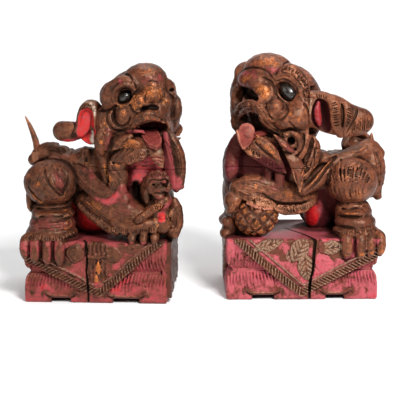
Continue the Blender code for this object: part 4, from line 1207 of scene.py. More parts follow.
    # mane flap at the inner side: brown outside, red facing inwards
    A(Tube([P(168.5, 134, 31), P(172.6, 144, 29), P(176.6, 156, 29), P(177.8, 170, 29), P(177.4, 182, 28), P(176.0, 190, 26)],
           [6, 9.5, 11.5, 11, 9.5, 3.5], [6, 9, 10, 10, 8, 3.5], (-0.35, -1, 0)), 4, UMB)
    A(Tube([P(165.5, 134, 20), P(167.0, 146, 17), P(168.6, 160, 17), P(170.4, 174, 18), P(173.4, 187, 20)],
           [4.0, 5.4, 6.6, 7.8, 4], [3.5, 4, 4, 4, 3], (-0.55, -1, 0)), 2.2, (0.55, 0, 0.42))
    F.tint(Ell(P(174, 184, 18), (11, 10, 13)), (0.60, 0, 0.15), 3)
    A(Ell(P(181.2, 186.8, 25), (4.2, 4, 4)), 1, (0.4, 0, 0))
    F.cut(Ell(P(152.5, 139.5, -3), (12.6, 15, 9.0)), 1.5)
    # hollow beside the cub, painted near-black as shade, with a near-black tint round it
    F.cut(Ell(P(135.5, 192, 20), (6.0, 16, 13)), 2, DARK)
    F.tint(Ell(P(136.5, 193, 22), (10, 22, 17)), DARK, 3)
    F.blur(1)
    # --- sash: rump, flank, and a twisted loop up to the beard
    A(Tube([(-92, 66, 178), (-78, 66, 189), (-58, 64, 188), (-42, 58, 180)], [8, 12, 13, 10], [7, 9, 9, 8], (-0.2, -1, 0.6)), 3, (0.1, 0, 0))
    sash = [(-62, 55, 181), (-44, 50, 174.5), (-28, 42, 165), (-13, 33, 154.5), (0, 25.5, 145.5), (12, 20.5, 142), (22, 18, 143)]
    A(Tube(sash, [8, 12.5, 13.5, 13.5, 12.5, 10.5, 8], [6, 8, 8.5, 8.5, 8.5, 8, 6], (-0.3, -1, 0.4)), 1.5, (0.14, 0, 0))
    up2 = [(14, 20, 140), (22.5, 17, 146), (27.5, 15, 156), (28.5, 13.5, 167), (27.5, 11, 178), (33, 8, 188.5), (42, 5, 197)]
    A(Tube(up2, [7, 9.5, 11.5, 12.5, 12.0, 10, 7], [5.5, 6, 6.5, 6.5, 6, 5.5, 4.5], (0.15, -1, 0.1)), 1.0, (0.05, 0.25, 0))
    A(Tube([(-12, 28, 141), (-2, 20.5, 134.0), (10, 14.0, 131), (21, 12.0, 134.5), (28, 12, 143), (30, 13, 151)], [2.0, 3.2, 4.2, 4.6, 4.0, 2]), 0.6, (0.70, 0, 0.05))
    A(Tube([P(118, 182, 17), P(121.5, 189, 13), P(124.0, 197, 16)], [6, 7.0, 4], [5, 6, 4], (0, -1, 0)), 1.2, (0.35, 0.05, 0.15))
    A(Ell(P(125, 200, 20), (11, 14, 11)), 4, (0.25, 0, 0.2))
    # --- sleeve and fringe of the near foreleg
    A(Tube([(-21, 50, 127), (5, 36, 123), (32, 27, 114), (58, 22, 107), (80, 24, 102)], [15, 21, 23, 20, 15]), 4, (0.0, 0.3, 0))
    A(Tube([(-27, 35, 122), (-12, 25.5, 112.5), (2, 17.5, 104), (16, 10.5, 97), (26, 7, 93)],
           [3.5, 5.2, 5.6, 5.8, 5], [3, 3.6, 4, 4.2, 4], (-0.35, -1, 0.1)), 0.8, (0.0, 0.1, 0))
    A(Tube([P(116, 222, 9), P(135, 226, 5), P(158, 223, 7)], [8, 10, 8]), 3, (0.0, 0.3, 0))
    for i, (px, py, w) in enumerate(((116.5, 229.5, 6.0), (124.8, 231.0, 6.5), (134.0, 232.0, 7.0), (143.8, 231.0, 6.6), (152.8, 229.0, 6.2))):
        A(Ell(P(px, py, 3.0), (w, 4.2, 6.4)), 0.7, (0.0, 0.15, 0))
    for u in (46, 61, 75):
        A(Tube([(u, 12, 89), (u, 2, 87.5), (u, -0.5, 83)], [6.2, 5.8, 4.2]), 1.0, (0, 0.3, 0))
    A(Ell((95, 30, 107), (13, 22, 29)), 3, UMB)
    A(Tube([(99, 16, 132), (102, 18, 118), (103, 17, 104), (100, 16, 90)], [6, 8, 8, 6]), 3, UMB)
    A(Tube([P(171, 214, 12), P(176.0, 206, 14), P(178.5, 216, 16), P(177, 228, 16)], [5, 6.5, 6, 5]), 1.5, (0, 0.15, 0))
    # --- near hind leg: tufted ball, cuff, foot and toes
    A(Ell((-62, 58, 150), (34, 33, 30)), 3)
    A(Ell((-93, 54, 128), (8, 16, 20)), 2, (0, 0.5, 0))
    A(Ell((-64, 40, 110), (27, 25, 22)), 3)
    A(hair_ball((-64, 36, 151.5), (35.0, 30, 30.6), (0.25, 0.15, 1), 26, 0.4, 11, power=1.2, wob=0.9), 0.8)
    A(Ell((-60.5, 33, 112), (27.5, 27, 7.5)), 2.5, (0.1, 0.15, 0))
    A(Ell((-62, 30, 99), (30.0, 28.5, 15.0)), 3.5, (0.2, 0.12, 0))
    A(Ell((-62.5, 28, 88), (34, 29.5, 12)), 5, (0.1, 0.05, 0))
    A(Ell((-62.5, 26, 78), (35, 28.0, 14)), 5, UMB)
    for i, (u, low, w) in enumerate(((-92.0, 57, 7.6), (-78.5, 52, 8.6), (-63.0, 50, 8.2), (-47, 49, 8.4))):
        A(Tube([(u * 0.96, 17, 84), (u, 4.0, 81), (u, -1.0, 74), (u, -2.4, low + 9), (u + 0.5, -1.0, low)], [w, w * 0.95, w * 0.88, w * 0.72, 1.6], ), 1.0, (0.05, 0.2, 0.05))
        F.tint(Ell((u, -6, low + 3), (6, 6, 6)), (0, 0.8, 0), 3)
    F.facets(6.5, 0.75, 31)
    F.rough(9, 0.3, 21)
    # --- eye sockets, painted darker round the eyes as shade
    e = EYES_AT["left_outer"]
    F.cut(Ell(e[0] + h.f * 3.0, e[1] + np.array((0.9, 2, 0.9)), e[2]), 1.8, (0.05, 0, 0.25))
    e = EYES_AT["left_inner"]
    F.cut(Ell(e[0] + h.f * 3.5, e[1] + np.array((0.5, 4, 0.4)), e[2]), 1.4, (0.1, 0, 0.3))
    # --- face lines: crescents round the cheek, lids, brow, lip
    c.ridge([(116.5, 106.5), (112.6, 109.8), (110.0, 115), (110.6, 120.5), (114.5, 126.0), (120.5, 128.0), (126.5, 125.5)], 1.9, 0.5, 0.9, (0, 0.15, 0))
    c.cut([(119.5, 103.2), (115.4, 106.8), (113.0, 113), (113.6, 119.0), (117.2, 124.6), (123.0, 126.2), (128.4, 122.5), (130.5, 117)], 1.6, 0.5, 0.6, (0.05, 0, 0.9))
    c.cut([(111.6, 107.8), (107.6, 111.0), (106.6, 117), (108.2, 123.5), (112.4, 128.6), (118.6, 131), (124, 130)], 1.3, 0.4, 0.7, (0.05, 0, 0.8))
    c.ridge([(101, 113), (99.8, 119), (100.6, 126), (103.2, 131.6), (108, 135.4), (114, 135.4)], 1.2, 0.3, 1.0, (0, 0.3, 0))
    c.cut([(98.5, 110.6), (104, 110.6), (110, 109.2), (115.4, 105.8), (118.8, 103.0)], 1.9, 0.5, 0.6, (0.05, 0, 0.95))
    c.cut([(121.6, 73.6), (127.5, 75.0), (132.6, 79.6), (135.8, 86.5), (136.6, 91.6)], 1.3, 0.3, 0.8, (0.05, 0, 0.8))
    c.cut([(136.5, 91.6), (132.6, 95.5), (129.2, 100.5), (130.2, 106.5), (133.0, 111.2), (137.6, 113.4)], 1.5, 0.3, 0.8, (0.05, 0, 0.8))
    c.cut([(163.8, 75.5), (165.4, 79.5), (166.0, 84.5), (166.6, 90.0), (170.5, 94.5), (173.5, 99.5), (173.0, 107)], 1.3, 0.3, 0.8, (0.05, 0, 0.8))
    c.ridge([(114.6, 102.5), (113.4, 95.5), (116.4, 88.8), (122.0, 85.2), (129.4, 85.4), (134.8, 89.8)], 1.5, 0.3, 0.6, (0, 0.1, 0))
    c.ridge([(115.4, 103.0), (120.5, 105.4), (126.5, 105.0), (131.5, 101.0), (134.5, 95.5)], 1.3, 0.2, 0.6, (0, 0.1, 0))
    c.cut([(112.6, 103.6), (110.8, 95.6), (113.8, 87.4), (120.6, 82.6), (128.6, 82.2), (135.0, 86.4)], 0.9, 0.1, 0.8, (0.05, 0, 0.4))
    c.cut([(144.5, 84.6), (148.5, 81.6), (153.5, 80.8), (158.5, 83.0), (161.0, 87)], 0.9, 0.2, 0.8, (0.1, 0, 0.5))
    c.cut([(146.2, 92.0), (144.6, 97.5), (146.2, 103.0)], 1.0, 0.1, 1.0, (0.1, 0, 0.3))
    c.cut([(159.6, 92.0), (160.6, 97.5), (159.6, 102.0)], 1.0, 0.1, 1.0, (0.1, 0, 0.3))
    c.cut([(137.0, 112.6), (141.5, 110.0), (146.0, 107.2)], 1.3, 0.2, 0.8, (0.1, 0, 0.6))
    c.cut([(130.0, 126.6), (133.6, 121.6), (139.0, 117.6), (148.2, 115.4), (156.2, 116.2), (161.8, 119.8), (165.2, 125.2)], 0.9, 0.3, 0.6, (0.05, 0, 0.8))
    c.comb([(105, 108, 3.0), (103.5, 100, 4.0), (106.5, 91, 4.6), (112.5, 83.5, 4.5), (120, 78.5, 3.0)], 6, 0.7, 0.05, 0.7, None, 3)
    c.hatch([(141, 108.6), (147, 110.4), (155, 110.8), (161, 112.4)], [(140, 112.6), (146.5, 112.2), (155, 112.4), (160, 115)], 9, 0.55, 0.05, 0.5, 0.0, seed=14)
    c.cut([(115.0, 133.0), (119.5, 132.0), (125.5, 131.4)], 1.4, 0.3, 0.8, (0.05, 0, 0.8))
    # slot beside the locks, painted near-black as shade
    F.cut(Ell(P(112.6, 142.0, 2), (3.4, 14, 6.0)), 0.8, DARK)
    for y0, bend, a0 in ((157.6, 1.2, 141), (161.5, 1.2, 137), (165.4, 1.0, 133), (172.8, 1.6, 128), (177.4, 1.8, 128), (182.0, 2.0, 129), (187.5, 2, 130)):
        c.cut([(a0, y0 + bend), (146, y0 + 0.3), (155, y0 - 0.2), (164, y0 + 1.0)], 0.85, 0.1, 0.6, (0.6, 0, 0.7), taper=False)
    c.comb([(134, 140, 5.5), (127.5, 148, 6.5), (121.5, 154, 5.5), (115.5, 160.0, 4)], 6, 0.85, 0.15, 0.5, None, 5)
    c.hatch([(148, 149.4), (141, 152.0), (133, 154.6), (125.6, 157.0)], [(150.5, 153.4), (143.5, 157.6), (135, 161.2), (126.5, 164.4)], 15, 0.8, 0.2, 0.45, 0.0, seed=15)
    c.comb([(128, 138.6, 2.4), (122, 143.0, 3.4), (114.5, 148.5, 1.2)], 4, 0.7, 0.1, 0.5, None, 7)
    c.cut([(107.5, 160.5), (113.5, 163.0), (120.0, 163.8), (126.5, 163.4)], 1.4, 0.4, 0.7, (0.1, 0.1, 0.6))
    c.cut([(110.5, 165.2), (114, 170.0), (118.5, 173.5), (121.0, 179)], 1.1, 0.2, 0.8, (0.2, 0, 0.5))
    c.comb([(107.5, 170, 1.5), (110.5, 177, 4.0), (115.5, 184.5, 4.5), (113.5, 193, 3.5)], 5, 0.8, 0.1, 0.5, None, 8)
    c.comb([(168, 140, 3), (174, 152, 5.5), (177.5, 165, 4.5), (178.5, 178, 3)], 6, 0.9, 0.2, 0.5, None, 9)
    c.comb([(71, 163.5, 3.0), (80, 172, 8.0), (90, 183, 8.5), (100, 190.5, 7.0), (110, 190.0, 4.5)], 11, 0.8, 0.15, 0.45, None, 10)
    c.comb([(46, 152, 3), (54, 151.5, 4), (62, 155.5, 3.5)], 5, 0.9, 0.2, 0.5, None, 11)
    c.dab([(105.6, 166, 5), (106.4, 173, 6), (109.0, 179, 5), (117.5, 165.5, 3.5), (101, 142, 4), (124, 164, 3)], 4, (0.12, 0.75, 0), 3)
    c.dab([(90, 172, 5), (84, 168, 4), (93, 177, 4)], 4, (0.5, 0, 0), 3, 0.7)
    # combed ball: fans of fine strokes and leaf-shaped tufts
    c.comb([(50, 161.6, 3.5), (44, 168, 9.5), (37.5, 180, 11.0), (34.5, 192, 8.0), (38, 203, 4.5)], 15, 0.75, 0.1, 0.45, None, 12)
    c.comb([(52, 161.6, 3.5), (61, 167, 9), (69.0, 178, 7.5), (71.0, 190, 4.5), (67, 200, 3)], 12, 0.75, 0.1, 0.45, None, 13)
    c.cut([(45, 169), (45.5, 176), (49.5, 184.5), (55, 190.5), (61.5, 195.6), (64, 190), (67.5, 183), (68.5, 175)], 1.5, 0.4, 0.7, (0.05, 0, 0.8))
    c.comb([(56.5, 167.5, 5.5), (59.5, 177.5, 7.5), (61.5, 187, 5.0), (62.2, 194.5, 1.0)], 9, 0.8, 0.15, 0.45, None, 14)
    c.cut([(28, 186), (32.5, 192.5), (38, 198.5), (44, 203.5)], 1.3, 0.3, 0.7, (0.05, 0.1, 0.6))
    c.dab([(59, 176, 8), (60, 184, 7), (61, 191, 4)], 6, (0.42, 0, 0), 3, 0.8)
    c.dab([(38, 184, 4), (35, 196, 5), (40, 201, 5), (46, 205, 3.5), (64, 209.5, 4.5)], 5, (0, 1, 0), 3, 0.8)
    # cuff, foot and ruff
    c.cut([(31, 207.0), (42, 209.0), (55, 209.0), (66, 207.6), (75, 204.5)], 1.5, 0.4, 0.8, (0.05, 0, 0.8))
    c.cut([(33, 214.6), (45, 217.2), (58, 217.2), (71, 214.0)], 1.4, 0.3, 0.8, (0.05, 0, 0.7))
    c.ridge([(33, 211.6), (45, 213.9), (58, 213.9), (71, 211.0)], 1.2, 0.2, 1.0, (0.1, 0.4, 0))
    for y0 in (220.5, 223.6, 226.8):
        c.cut([(32, y0), (42, y0 + 1.6), (54, y0 + 1.5), (64, y0)], 0.8, 0.1, 0.6, (0.3, 0.1, 0.3))
    c.ridge([(62, 228.5), (68.5, 228.0), (71.5, 223.5), (69.5, 219.6), (66.0, 221.5), (67.0, 224.6)], 1.3, 0.3, 0.7, (0.2, 0.5, 0))
    c.lay([(29, 233.5), (38, 237.5), (50, 238.5), (62, 237.0), (73, 233.0)], 3.6, 2.2, 0.2, 1.4, (0.1, 0.1, 0))
    c.hatch([(28, 231.5), (38, 235.0), (52, 235.6), (66, 233.4), (74, 230.5)], [(26, 239.5), (37, 242.0), (51, 242.6), (66, 240.6), (77, 238.0)], 17, 0.9, 0.2, 0.5, 0.0, seed=16)
    c.dab([(50, 221, 8), (60, 225, 6), (38, 225, 6)], 6, (0.35, 0.35, 0), 4, 0.7)
    # belly edge, sleeve folds, fringe teeth, petals
    c.ridge([(79.5, 203.5), (77.2, 211), (78.0, 220), (81.5, 229), (87.0, 236.6)], 1.3, 0.2, 0.8, (0.5, 0.1, 0))
    c.hatch([(82, 201.5), (88, 208.5), (96, 214.5), (104, 221.5), (110, 228.5)], [(79.0, 204.5), (85.5, 212.0), (93, 218.5), (100.5, 226.0), (106.5, 232.5)], 24, 0.75, 0.2, 0.45, 0.0, seed=17)
    for px, py in ((116.5, 229.5), (124.8, 231.0), (134.0, 232.0), (143.8, 231.0), (152.8, 229.0)):
        c.hatch([(px - 3.4, py - 2.5), (px, py - 3.5), (px + 3.4, py - 2.5)], [(px - 4.4, py + 3.0), (px, py + 5), (px + 4.4, py + 3.0)], 5, 0.65, 0.15, 0.4, 0.0, seed=18)
    c.comb([(86, 200, 3), (97, 207, 5.5), (110, 214.5, 7.5), (125, 219, 7.5), (138, 219, 5)], 6, 0.6, 0.05, 0.7, None, 19)
    c.dab([(92, 202, 7), (98, 206, 7)], 6, (0, 0.75, 0), 4, 0.7)
    c.dab([(118, 213, 8), (128, 212, 8)], 7, (0.3, 0.2, 0), 5, 0.6)
    c.dab([(127, 205, 9), (134, 205, 7)], 7, (0.25, 0, 0.1), 5, 0.7)
    c.hatch([(166, 209), (170.5, 206), (175, 207), (179, 213)], [(168, 227), (171.5, 231), (175.5, 233), (178.5, 230)], 7, 0.9, 0.25, 0.5, 0.1, seed=20)
    for u in (-85.2, -70.8, -55.0):
        F.cut(Tube([(u, -5, 66), (u, -3.5, 74), (u, -1, 80)], [1.2, 1.5, 1.0], far=4), 0.6, (0.1, 0, 0.9))
    # orange on the brow, dome, nose, cheek and jaw: rubbed gilt, partly painted highlights where the light catches
    c.dab([(141, 70, 8), (147, 69, 9), (150, 75, 9), (157, 75, 8), (144, 76, 8)], 6, (0.16, 0.62, 0), 5, 0.85)
    c.dab([(158, 79, 6), (146, 80, 6), (162, 76, 5)], 6, (0.35, 0.2, 0), 4, 0.7)
    c.dab([(152, 89, 9), (151, 97, 6), (145, 92, 6), (137, 100, 9), (134, 106, 6), (166, 102, 6), (160, 92, 5), (123, 108, 4.5), (124, 115, 4), (105, 124, 5), (119.5, 131, 3)], 5, (0.08, 0.72, 0), 4.5, 0.8)
    c.dab([(120, 81.5, 3)], 3, (0.8, 0, 0), 2, 0.8)
    plinth(F, front_left(), -95, 90.5, 130, ((-12.8, 81.5), (-12.0, 0.0), 1.25), ((-47.5, 12.5), (37.5, 17.0)))
    F.cut(Tube([P(84, 240.6, 10), P(85.8, 242.5, 0), P(86.2, 250, -2)], 1.2, far=5), 0.3, DARK)
    F.cut(Tube([P(86.2, 154.5, 36), P(86.6, 160, 37), P(86.2, 166.5, 38)], [0.5, 1.2, 0.5], far=6), 0.3, DARK)
    ear_room(F, *LEFT_OUTER)
    ear_room(F, *LEFT_INNER)
    return F, c


def right_field():
    F = Field((-134, -17, -2.5), (124, 150, 328), STEP)
    h, c, A = RH, Carver(F, RIGHT), F.add
    P = RIGHT.at

    def B(px, py, f, r, k=2.0, col=None):
        A(Ell(P_f(h, (px, py), f), r, h.axes), k, UMB if col is None else col)

    def roll(pts, r, k=1.5, col=UMB, t=None, nrm=None):
        A(Tube([P_f(h, p[:2], p[2]) for p in pts], r, t, nrm), k, col)

    # --- trunk and far side
    A(Ell((-6, 80, 146), (72, 34, 32)), 1)
    A(Ell((-64, 84, 138), (37, 38, 48)), 8)
    A(Ell((-66, 84, 158), (26, 28, 26)), 6)
    A(Ell((-46, 100, 116), (40, 28, 44)), 6)
    A(Ell((-50, 108, 92), (33, 18, 16)), 5)
    A(Ell((64, 72, 130), (34, 34, 50)), 8)
    A(Tube([(58, 68, 140), (42, 66, 176), (28, 64, 226)], [35, 37, 37]), 8)
    A(Ell((-30, 72, 166), (26, 30, 24)), 8)
    A(Tube([(66, 98, 150), (74, 100, 92)], [24, 20]), 6)
    A(Ell((76, 96, 88), (26, 26, 12)), 4)
    A(Tube([(-64, 98, 180), (-34, 94, 178), (-6, 90, 176), (14, 96, 188), (24, 102, 214)], [7, 6, 6, 7, 8], disp=ticks(9, 1.6, 1.5)), 4)
    back_curls(F, ((-50, 106), (-26, 108), (-2, 108), (20, 106)), 168)
    A(Ell((-33, 78, 110), (20, 24, 38)), 5, (0.6, 0, 0.85))
    F.tint(Ell((-30, 56, 106), (34, 44, 34)), (0.6, 0, 0.85), 3)
    F.tint(Ell(P(311.0, 217, 50), (11.5, 32, 19)), RED, 2.5)
    F.tint(Ell(P(320, 209, 50), (5, 30, 12)), (0.9, 0, 0.3), 3, 0.7)
    # --- head masses
    A(h.ell((2, -5, 1), (40, 38, 36)), 5)
    A(h.ell((4, 0, -24), (39, 32, 22)), 6)
    A(h.ell((2, -24, -16), (38, 26, 42)), 8)
    A(h.ell((-2, 19, 24.0), (30.5, 25.5, 20.5)), 2.5)
    A(h.ell((0, 20, -12), (28, 24, 20)), 4)
    A(h.ell((0, 6, -48), (26, 22, 10)), 5)
    ear_seat(F, *RIGHT_OUTER, (17, 17, 26))
    ear_seat(F, *RIGHT_INNER, (17, 16, 25))
    nape(F, (14, 92), ((-6, 262), (16, 272), (36, 262), (-14, 238), (8, 246), (30, 242), (-8, 214), (14, 220), (36, 216), (2, 194), (26, 194)))
    # far brow and far cheek, in shade
    B(243.5, 73.5, 20, (11, 14, 14), 6, (0, 0, 0.2))
    B(248.5, 69.0, 14, (10, 15, 10), 4)
    B(241.0, 92, 20, (13.0, 16, 26), 4)
    B(240.5, 108, 20, (12.0, 16, 20), 4)
    B(243.0, 126, 16, (11, 14, 14), 4, (0, 0, 0.3))
    # near cheek mass, cheek ball
    B(297.0, 117.0, 9, (14, 16, 16.5), 4, (0, 0.15, 0))
    B(298.5, 106.0, 3, (11, 16, 12), 5)
    B(284.0, 121.0, 19, (14, 12, 12), 4)
    B(268.0, 118.0, 27, (16, 12, 10), 4)
    # near brow: broad gouged hood round the eye
    roll([(275.5, 77.0, 27), (280, 72.0, 25), (287, 70.0, 21), (294.5, 73.6, 15), (300.5, 81.0, 8), (303.8, 90.5, 3), (304, 100, 0)],
         [4.0, 7.0, 9.0, 9.6, 9.6, 8.6, 6.5], 5)
    # nose: bridge roll, body, ball
    roll([(240.0, 84.0, 35), (241.0, 77.5, 36), (246.5, 73.2, 35), (254.5, 71.6, 33), (262.5, 73.6, 30), (269.5, 79.5, 26)],
         [4.5, 6.0, 6.8, 6.8, 6.2, 4.6], 2, (0.25, 0.2, 0))
    B(249.0, 79.2, 37, (17, 12, 11.8), 4, (0.3, 0.3, 0))
    B(256.0, 82.5, 36, (14, 12, 10.5), 4, (0.15, 0.3, 0))
    B(263.4, 91.2, 32, (13.2, 13, 13.2), 2.6, (0, 0.45, 0))
    roll([(240.0, 85, 31), (236.0, 90, 32), (234.4, 98, 32), (235.2, 106, 31), (237.4, 113, 29)], [4.5, 4.8, 4.6, 4.4, 4.0], 2.5, (0, 0, 0.2))
    B(275.4, 108.4, 25, (11.6, 11.6, 12.6), 1.4, (0, 0.3, 0))
    F.blur(2)
    # nostril hollow under the nose, painted near-black as shade
    ax = np.array((h.a * 0.94 - h.c * 0.34, h.f, h.a * 0.34 + h.c * 0.94))
    F.cut(Ell(P_f(h, (249.6, 95.4), 41), (17.5, 18, 7.6), ax), 1.2, (0.05, 0, 0.9))
    F.tint(Ell(P_f(h, (249.6, 95.8), 27), (16.5, 16, 7.0), ax), (0.05, 0, 0.9), 1.5)
    # upper lip: thick, wavy, in parallel rolls
    lip = [(236.0, 120, 20), (236.5, 112, 28), (241.0, 106.3, 37), (249.5, 103.6, 42), (257.2, 106.8, 40), (262.6, 114.8, 34), (266.6, 122.4, 29), (273.8, 128.0, 24), (282.5, 133.2, 16), (290.5, 136.2, 8)]
    roll(lip, [3.5, 4.5, 5.2, 5.6, 5.6, 5.6, 5.2, 4.6, 4.2, 3.6], 2.0, (0.08, 0.2, 0))
    lip2 = [(239.0, 123, 20), (240.6, 115.5, 29), (245.5, 110.2, 38), (251.0, 109.0, 40), (255.6, 112.6, 37), (258.6, 119.6, 32), (263.0, 127.0, 27), (270.5, 132.0, 22), (279, 136.8, 15)]
    roll(lip2, [2.4, 2.8, 3.0, 3.0, 3.0, 3.0, 2.8, 2.6, 2.0], 0.7, (0.25, 0.15, 0))
    # mouth, its inside painted near-black as shade
    F.cut(Ell(P_f(h, (253.5, 121.8), 34), (13.0, 22, 12.5), h.axes), 1.2, (0.15, 0, 1))
    F.cut(Tube([P_f(h, (248, 121), 46), P_f(h, (253, 124), 36), P_f(h, (262, 130), 27), (P_f(h, (271.5, 136), 21))], [9, 9, 6, 2.5], far=9), 1.0, (0.15, 0, 1))
    for i in range(6):
        t = i / 5
        px, py = 243.5 + 12.5 * t, 113.2 - 3.6 * math.sin(math.pi * t) + 2.4 * t
        A(Ell(P_f(h, (px, py), 38 - 3 * t), (2.4, 2.2, 3.6)), 0.4, (0.25, 0.1, 0.55))
    # --- jaw strap, ring at the corner of the mouth, neck
    A(Tube([h.at(22, -8, -36), (6, 46, 200), (2, 48, 176), (6, 52, 150)], [27, 26, 24, 18]), 6)
    B(239.0, 121.5, 20, (7.5, 14, 13), 4, (0, 0, 0.3))
    # second mouth hollow with a near-black tint: painted shade inside the mouth
    F.cut(Ell(P_f(h, (254.5, 122.5), 31), (11.5, 20, 10.5), h.axes), 1.0, (0.1, 0, 1))
    F.tint(Ell(P_f(h, (253.0, 122.5), 21), (16.5, 17, 12.5), h.axes), (0.1, 0, 1), 1.5)
    A(Tube([P(309, 122, 24), P(308, 133, 19), P(305, 144, 14), P(301.8, 154, 12), P(298, 161, 12)], [5.5, 5.5, 5.5, 5, 3], [5, 4.5, 4.5, 4, 3], (-0.5, -1, 0)), 1.2, (0.0, 0.2, 0))
    A(Tube([P(311.5, 138, 28), P(314.5, 148, 26), P(310.5, 161, 20), P(303.5, 176, 17)], [5, 9, 10, 6], [5, 7, 7, 5], (-0.4, -1, 0.2)), 4, UMB)
    A(Ell(P(322, 157.5, 42), (14, 16, 8.5)), 5)
    A(Ell(P(289, 141.5, 13), (15, 8, 14)), 3, (0.1, 0, 0))
    A(Tube([P(273.5, 136.5, 10), P(279.5, 141.5, 6), P(286.5, 147.5, 5), P(297.5, 154.0, 7)], [3.5, 5.6, 5.4, 1.2], [3.5, 4.5, 4.5, 1.2], (0, -1, 0.1)), 0.7, (0.2, 0.15, 0))
    A(Tube([P(284, 134.5, 6), P(290.5, 132.6, 5), P(297.0, 135.0, 5), P(300.0, 141.0, 6), P(299.0, 148.0, 7), P(296.5, 153.0, 8)], [2.8, 3.4, 3.8, 3.8, 3.4, 2]), 0.9, (0.05, 0.1, 0))
    # hole of the ring, painted near-black as shade
    F.cut(Ell(P(291.6, 140.8, 4), (4.8, 16, 5.4)), 0.8, DARK)
    A(Tube([P(283, 153, 12), P(288, 158, 8), P(295, 163.0, 6.5), P(304, 167.5, 8)], [5, 8.5, 8.5, 2.5], [4, 5, 5, 3], (0, -1, 0.15)), 0.8, (0.15, 0.05, 0))
    A(Tube([P(295, 162, 9), P(297, 171, 6.5), P(298.2, 181, 6), P(299.6, 193.2, 8)], [8.5, 9.5, 7.2, 0.8], [4.5, 4.5, 4, 0.8], (0, -1, 0.1)), 0.7, (0.15, 0.3, 0))
    # --- beard: gilt leaf, fringe under it
    A(Tube([P(248.5, 140.5, 8), P(255, 145.0, 5), P(263, 150.8, 3.5), P(271.5, 157.6, 4.5), P(279, 164.2, 6), P(286.5, 170.8, 9)], [4.5, 9.0, 10.5, 10.0, 7.5, 1.5], [4, 5, 5.5, 5, 4, 1.5], (0.05, -1, 0.25)), 1.2, (0, 0.15, 0))
    A(Tube([P(256.0, 136.4, 6), P(261, 141.0, 2), P(267, 146.4, 0), P(273.5, 152.4, 1), P(281.6, 162.6, 4)], [2.5, 6.0, 7.2, 6.2, 1.0], [4, 5, 5.5, 5, 1], (0.1, -1, 0.35)), 0.7, (0.0, 0.3, 0))
    F.cut(Ell(P(245.0, 137.5, 2), (11.5, 20, 11.0)), 1.5)
    A(Tube([P(243.5, 147.0, 9), P(251, 151.5, 4.5), P(260, 157.0, 2.5), P(269, 162.5, 2.5), P(278, 168.0, 5), P(287.5, 172.8, 8)], [3.0, 5.8, 7.2, 6.8, 5.6, 1.4], [3, 3.6, 4, 4, 3.6, 1.4], (0, -1, 0.15)), 0.6, (0.0, 0.25, 0))
    # chest: dark red recess with painted shade in it, hanging locks, and the glossy shoulder
    A(Ell((50, 50, 168), (36, 30, 36)), 4, (0.5, 0, 0.85))
    F.tint(Ell((50, 30, 172), (42, 36, 36)), (0.5, 0, 0.8), 3)
    A(Tube([P(268, 163, 19), P(268.5, 172, 17), P(267, 183, 19)], [5.5, 6, 5]), 1, (0.35, 0, 0.55))
    A(Tube([P(278.5, 167, 16), P(279.5, 176, 14), P(279.5, 188, 16)], [6, 6.5, 6]), 1, (0.32, 0, 0.4))
    A(Ell((84, 60, 168), (14.5, 24, 34)), 3, (0.35, 0, 0.6))
    A(Ell(P(231.5, 168, 28), (9.0, 10, 19)), 3, (0.40, 0, 0.45))
    A(Tube([P(240.5, 134, 32), P(237, 142, 32), P(233.5, 151, 33), P(231.5, 163, 34)], [6, 9, 10, 9]), 6, (0.35, 0, 0.6))
    F.blur(1)
    # --- near hind leg, outer mass
    A(Ell((-70, 58, 150), (32, 34, 30)), 3)
    A(Ell((-99, 58, 162), (21, 24, 37)), 3)
    A(Tube([(-106, 52, 148), (-109.5, 50, 129)], [8.5, 5.5]), 3)
    A(Ell((-75, 38, 110), (24, 24, 22)), 3)
    # --- sash with open scroll and point
    sash = [(-112, 58, 186), (-98, 58, 195), (-80, 52, 187), (-58, 46, 178), (-40, 39, 167), (-21, 30, 152), (-6, 23, 143)]
    A(Tube(sash, [7, 10, 11, 11, 11.5, 11, 8], [6, 8, 9, 9, 9, 9, 7], (-0.2, -1, 0.55)), 2.5, (0.12, 0.05, 0))
    A(Ell((-84, 80, 188), (19, 15, 17)), 3)
    A(Ell((-86, 96, 194), (20, 9, 17)), 3, (0, 0, 0.4))
    F.cut(Ell((-86, 72, 203), (13.5, 14, 11), ((0.93, 0, -0.36), (0, 1, 0), (0.36, 0, 0.93))), 1.0, (0.05, 0.1, 0.35))
    A(Tube([(-66, 74, 193), (-74, 82, 204), (-86, 88, 210), (-97, 80, 207), (-99, 68, 202)], [3.2, 4, 4, 3.6, 3]), 2.5)
    A(Tube([(-97, 60, 188), (-99.5, 61, 200), (-101, 62, 213)], [8.5, 5, 1.2]), 2)
    A(hair_ball((-72, 36, 151.8), (33.5, 30, 31), (0.12, 0.5, 1), 24, 0.4, 31, power=1.2, wob=0.9, low=0.2), 0.8, (0.02, 0.1, 0))
    A(Ell((-75.5, 33, 112), (22.5, 24, 8.0)), 2.5, (0.1, 0.2, 0))
    A(Ell((-76.5, 30, 99), (27, 27.0, 13.5)), 3, (0.15, 0.05, 0))
    A(Ell((-78, 27, 86), (31, 29.0, 11)), 4, UMB)
    A(Ell((-80, 27, 79), (31, 27.0, 13)), 4, UMB)
    for i, (u, low, w) in enumerate(((-104.5, 62, 7.4), (-91.5, 60, 7.2), (-79.0, 58, 7.8), (-61, 59, 8.6))):
        A(Tube([(u * 0.96, 18, 86), (u, 3.5, 84), (u, -2.6, 76), (u, -3.6, low + 7), (u + 0.5, -2.2, low)], [w, w, w * 0.95, w * 0.85, 3.6]), 1.0, (0, 0.08, 0))
        F.tint(Ell((u, -6, low + 4), (6, 6, 6)), (0, 0.8, 0), 3)
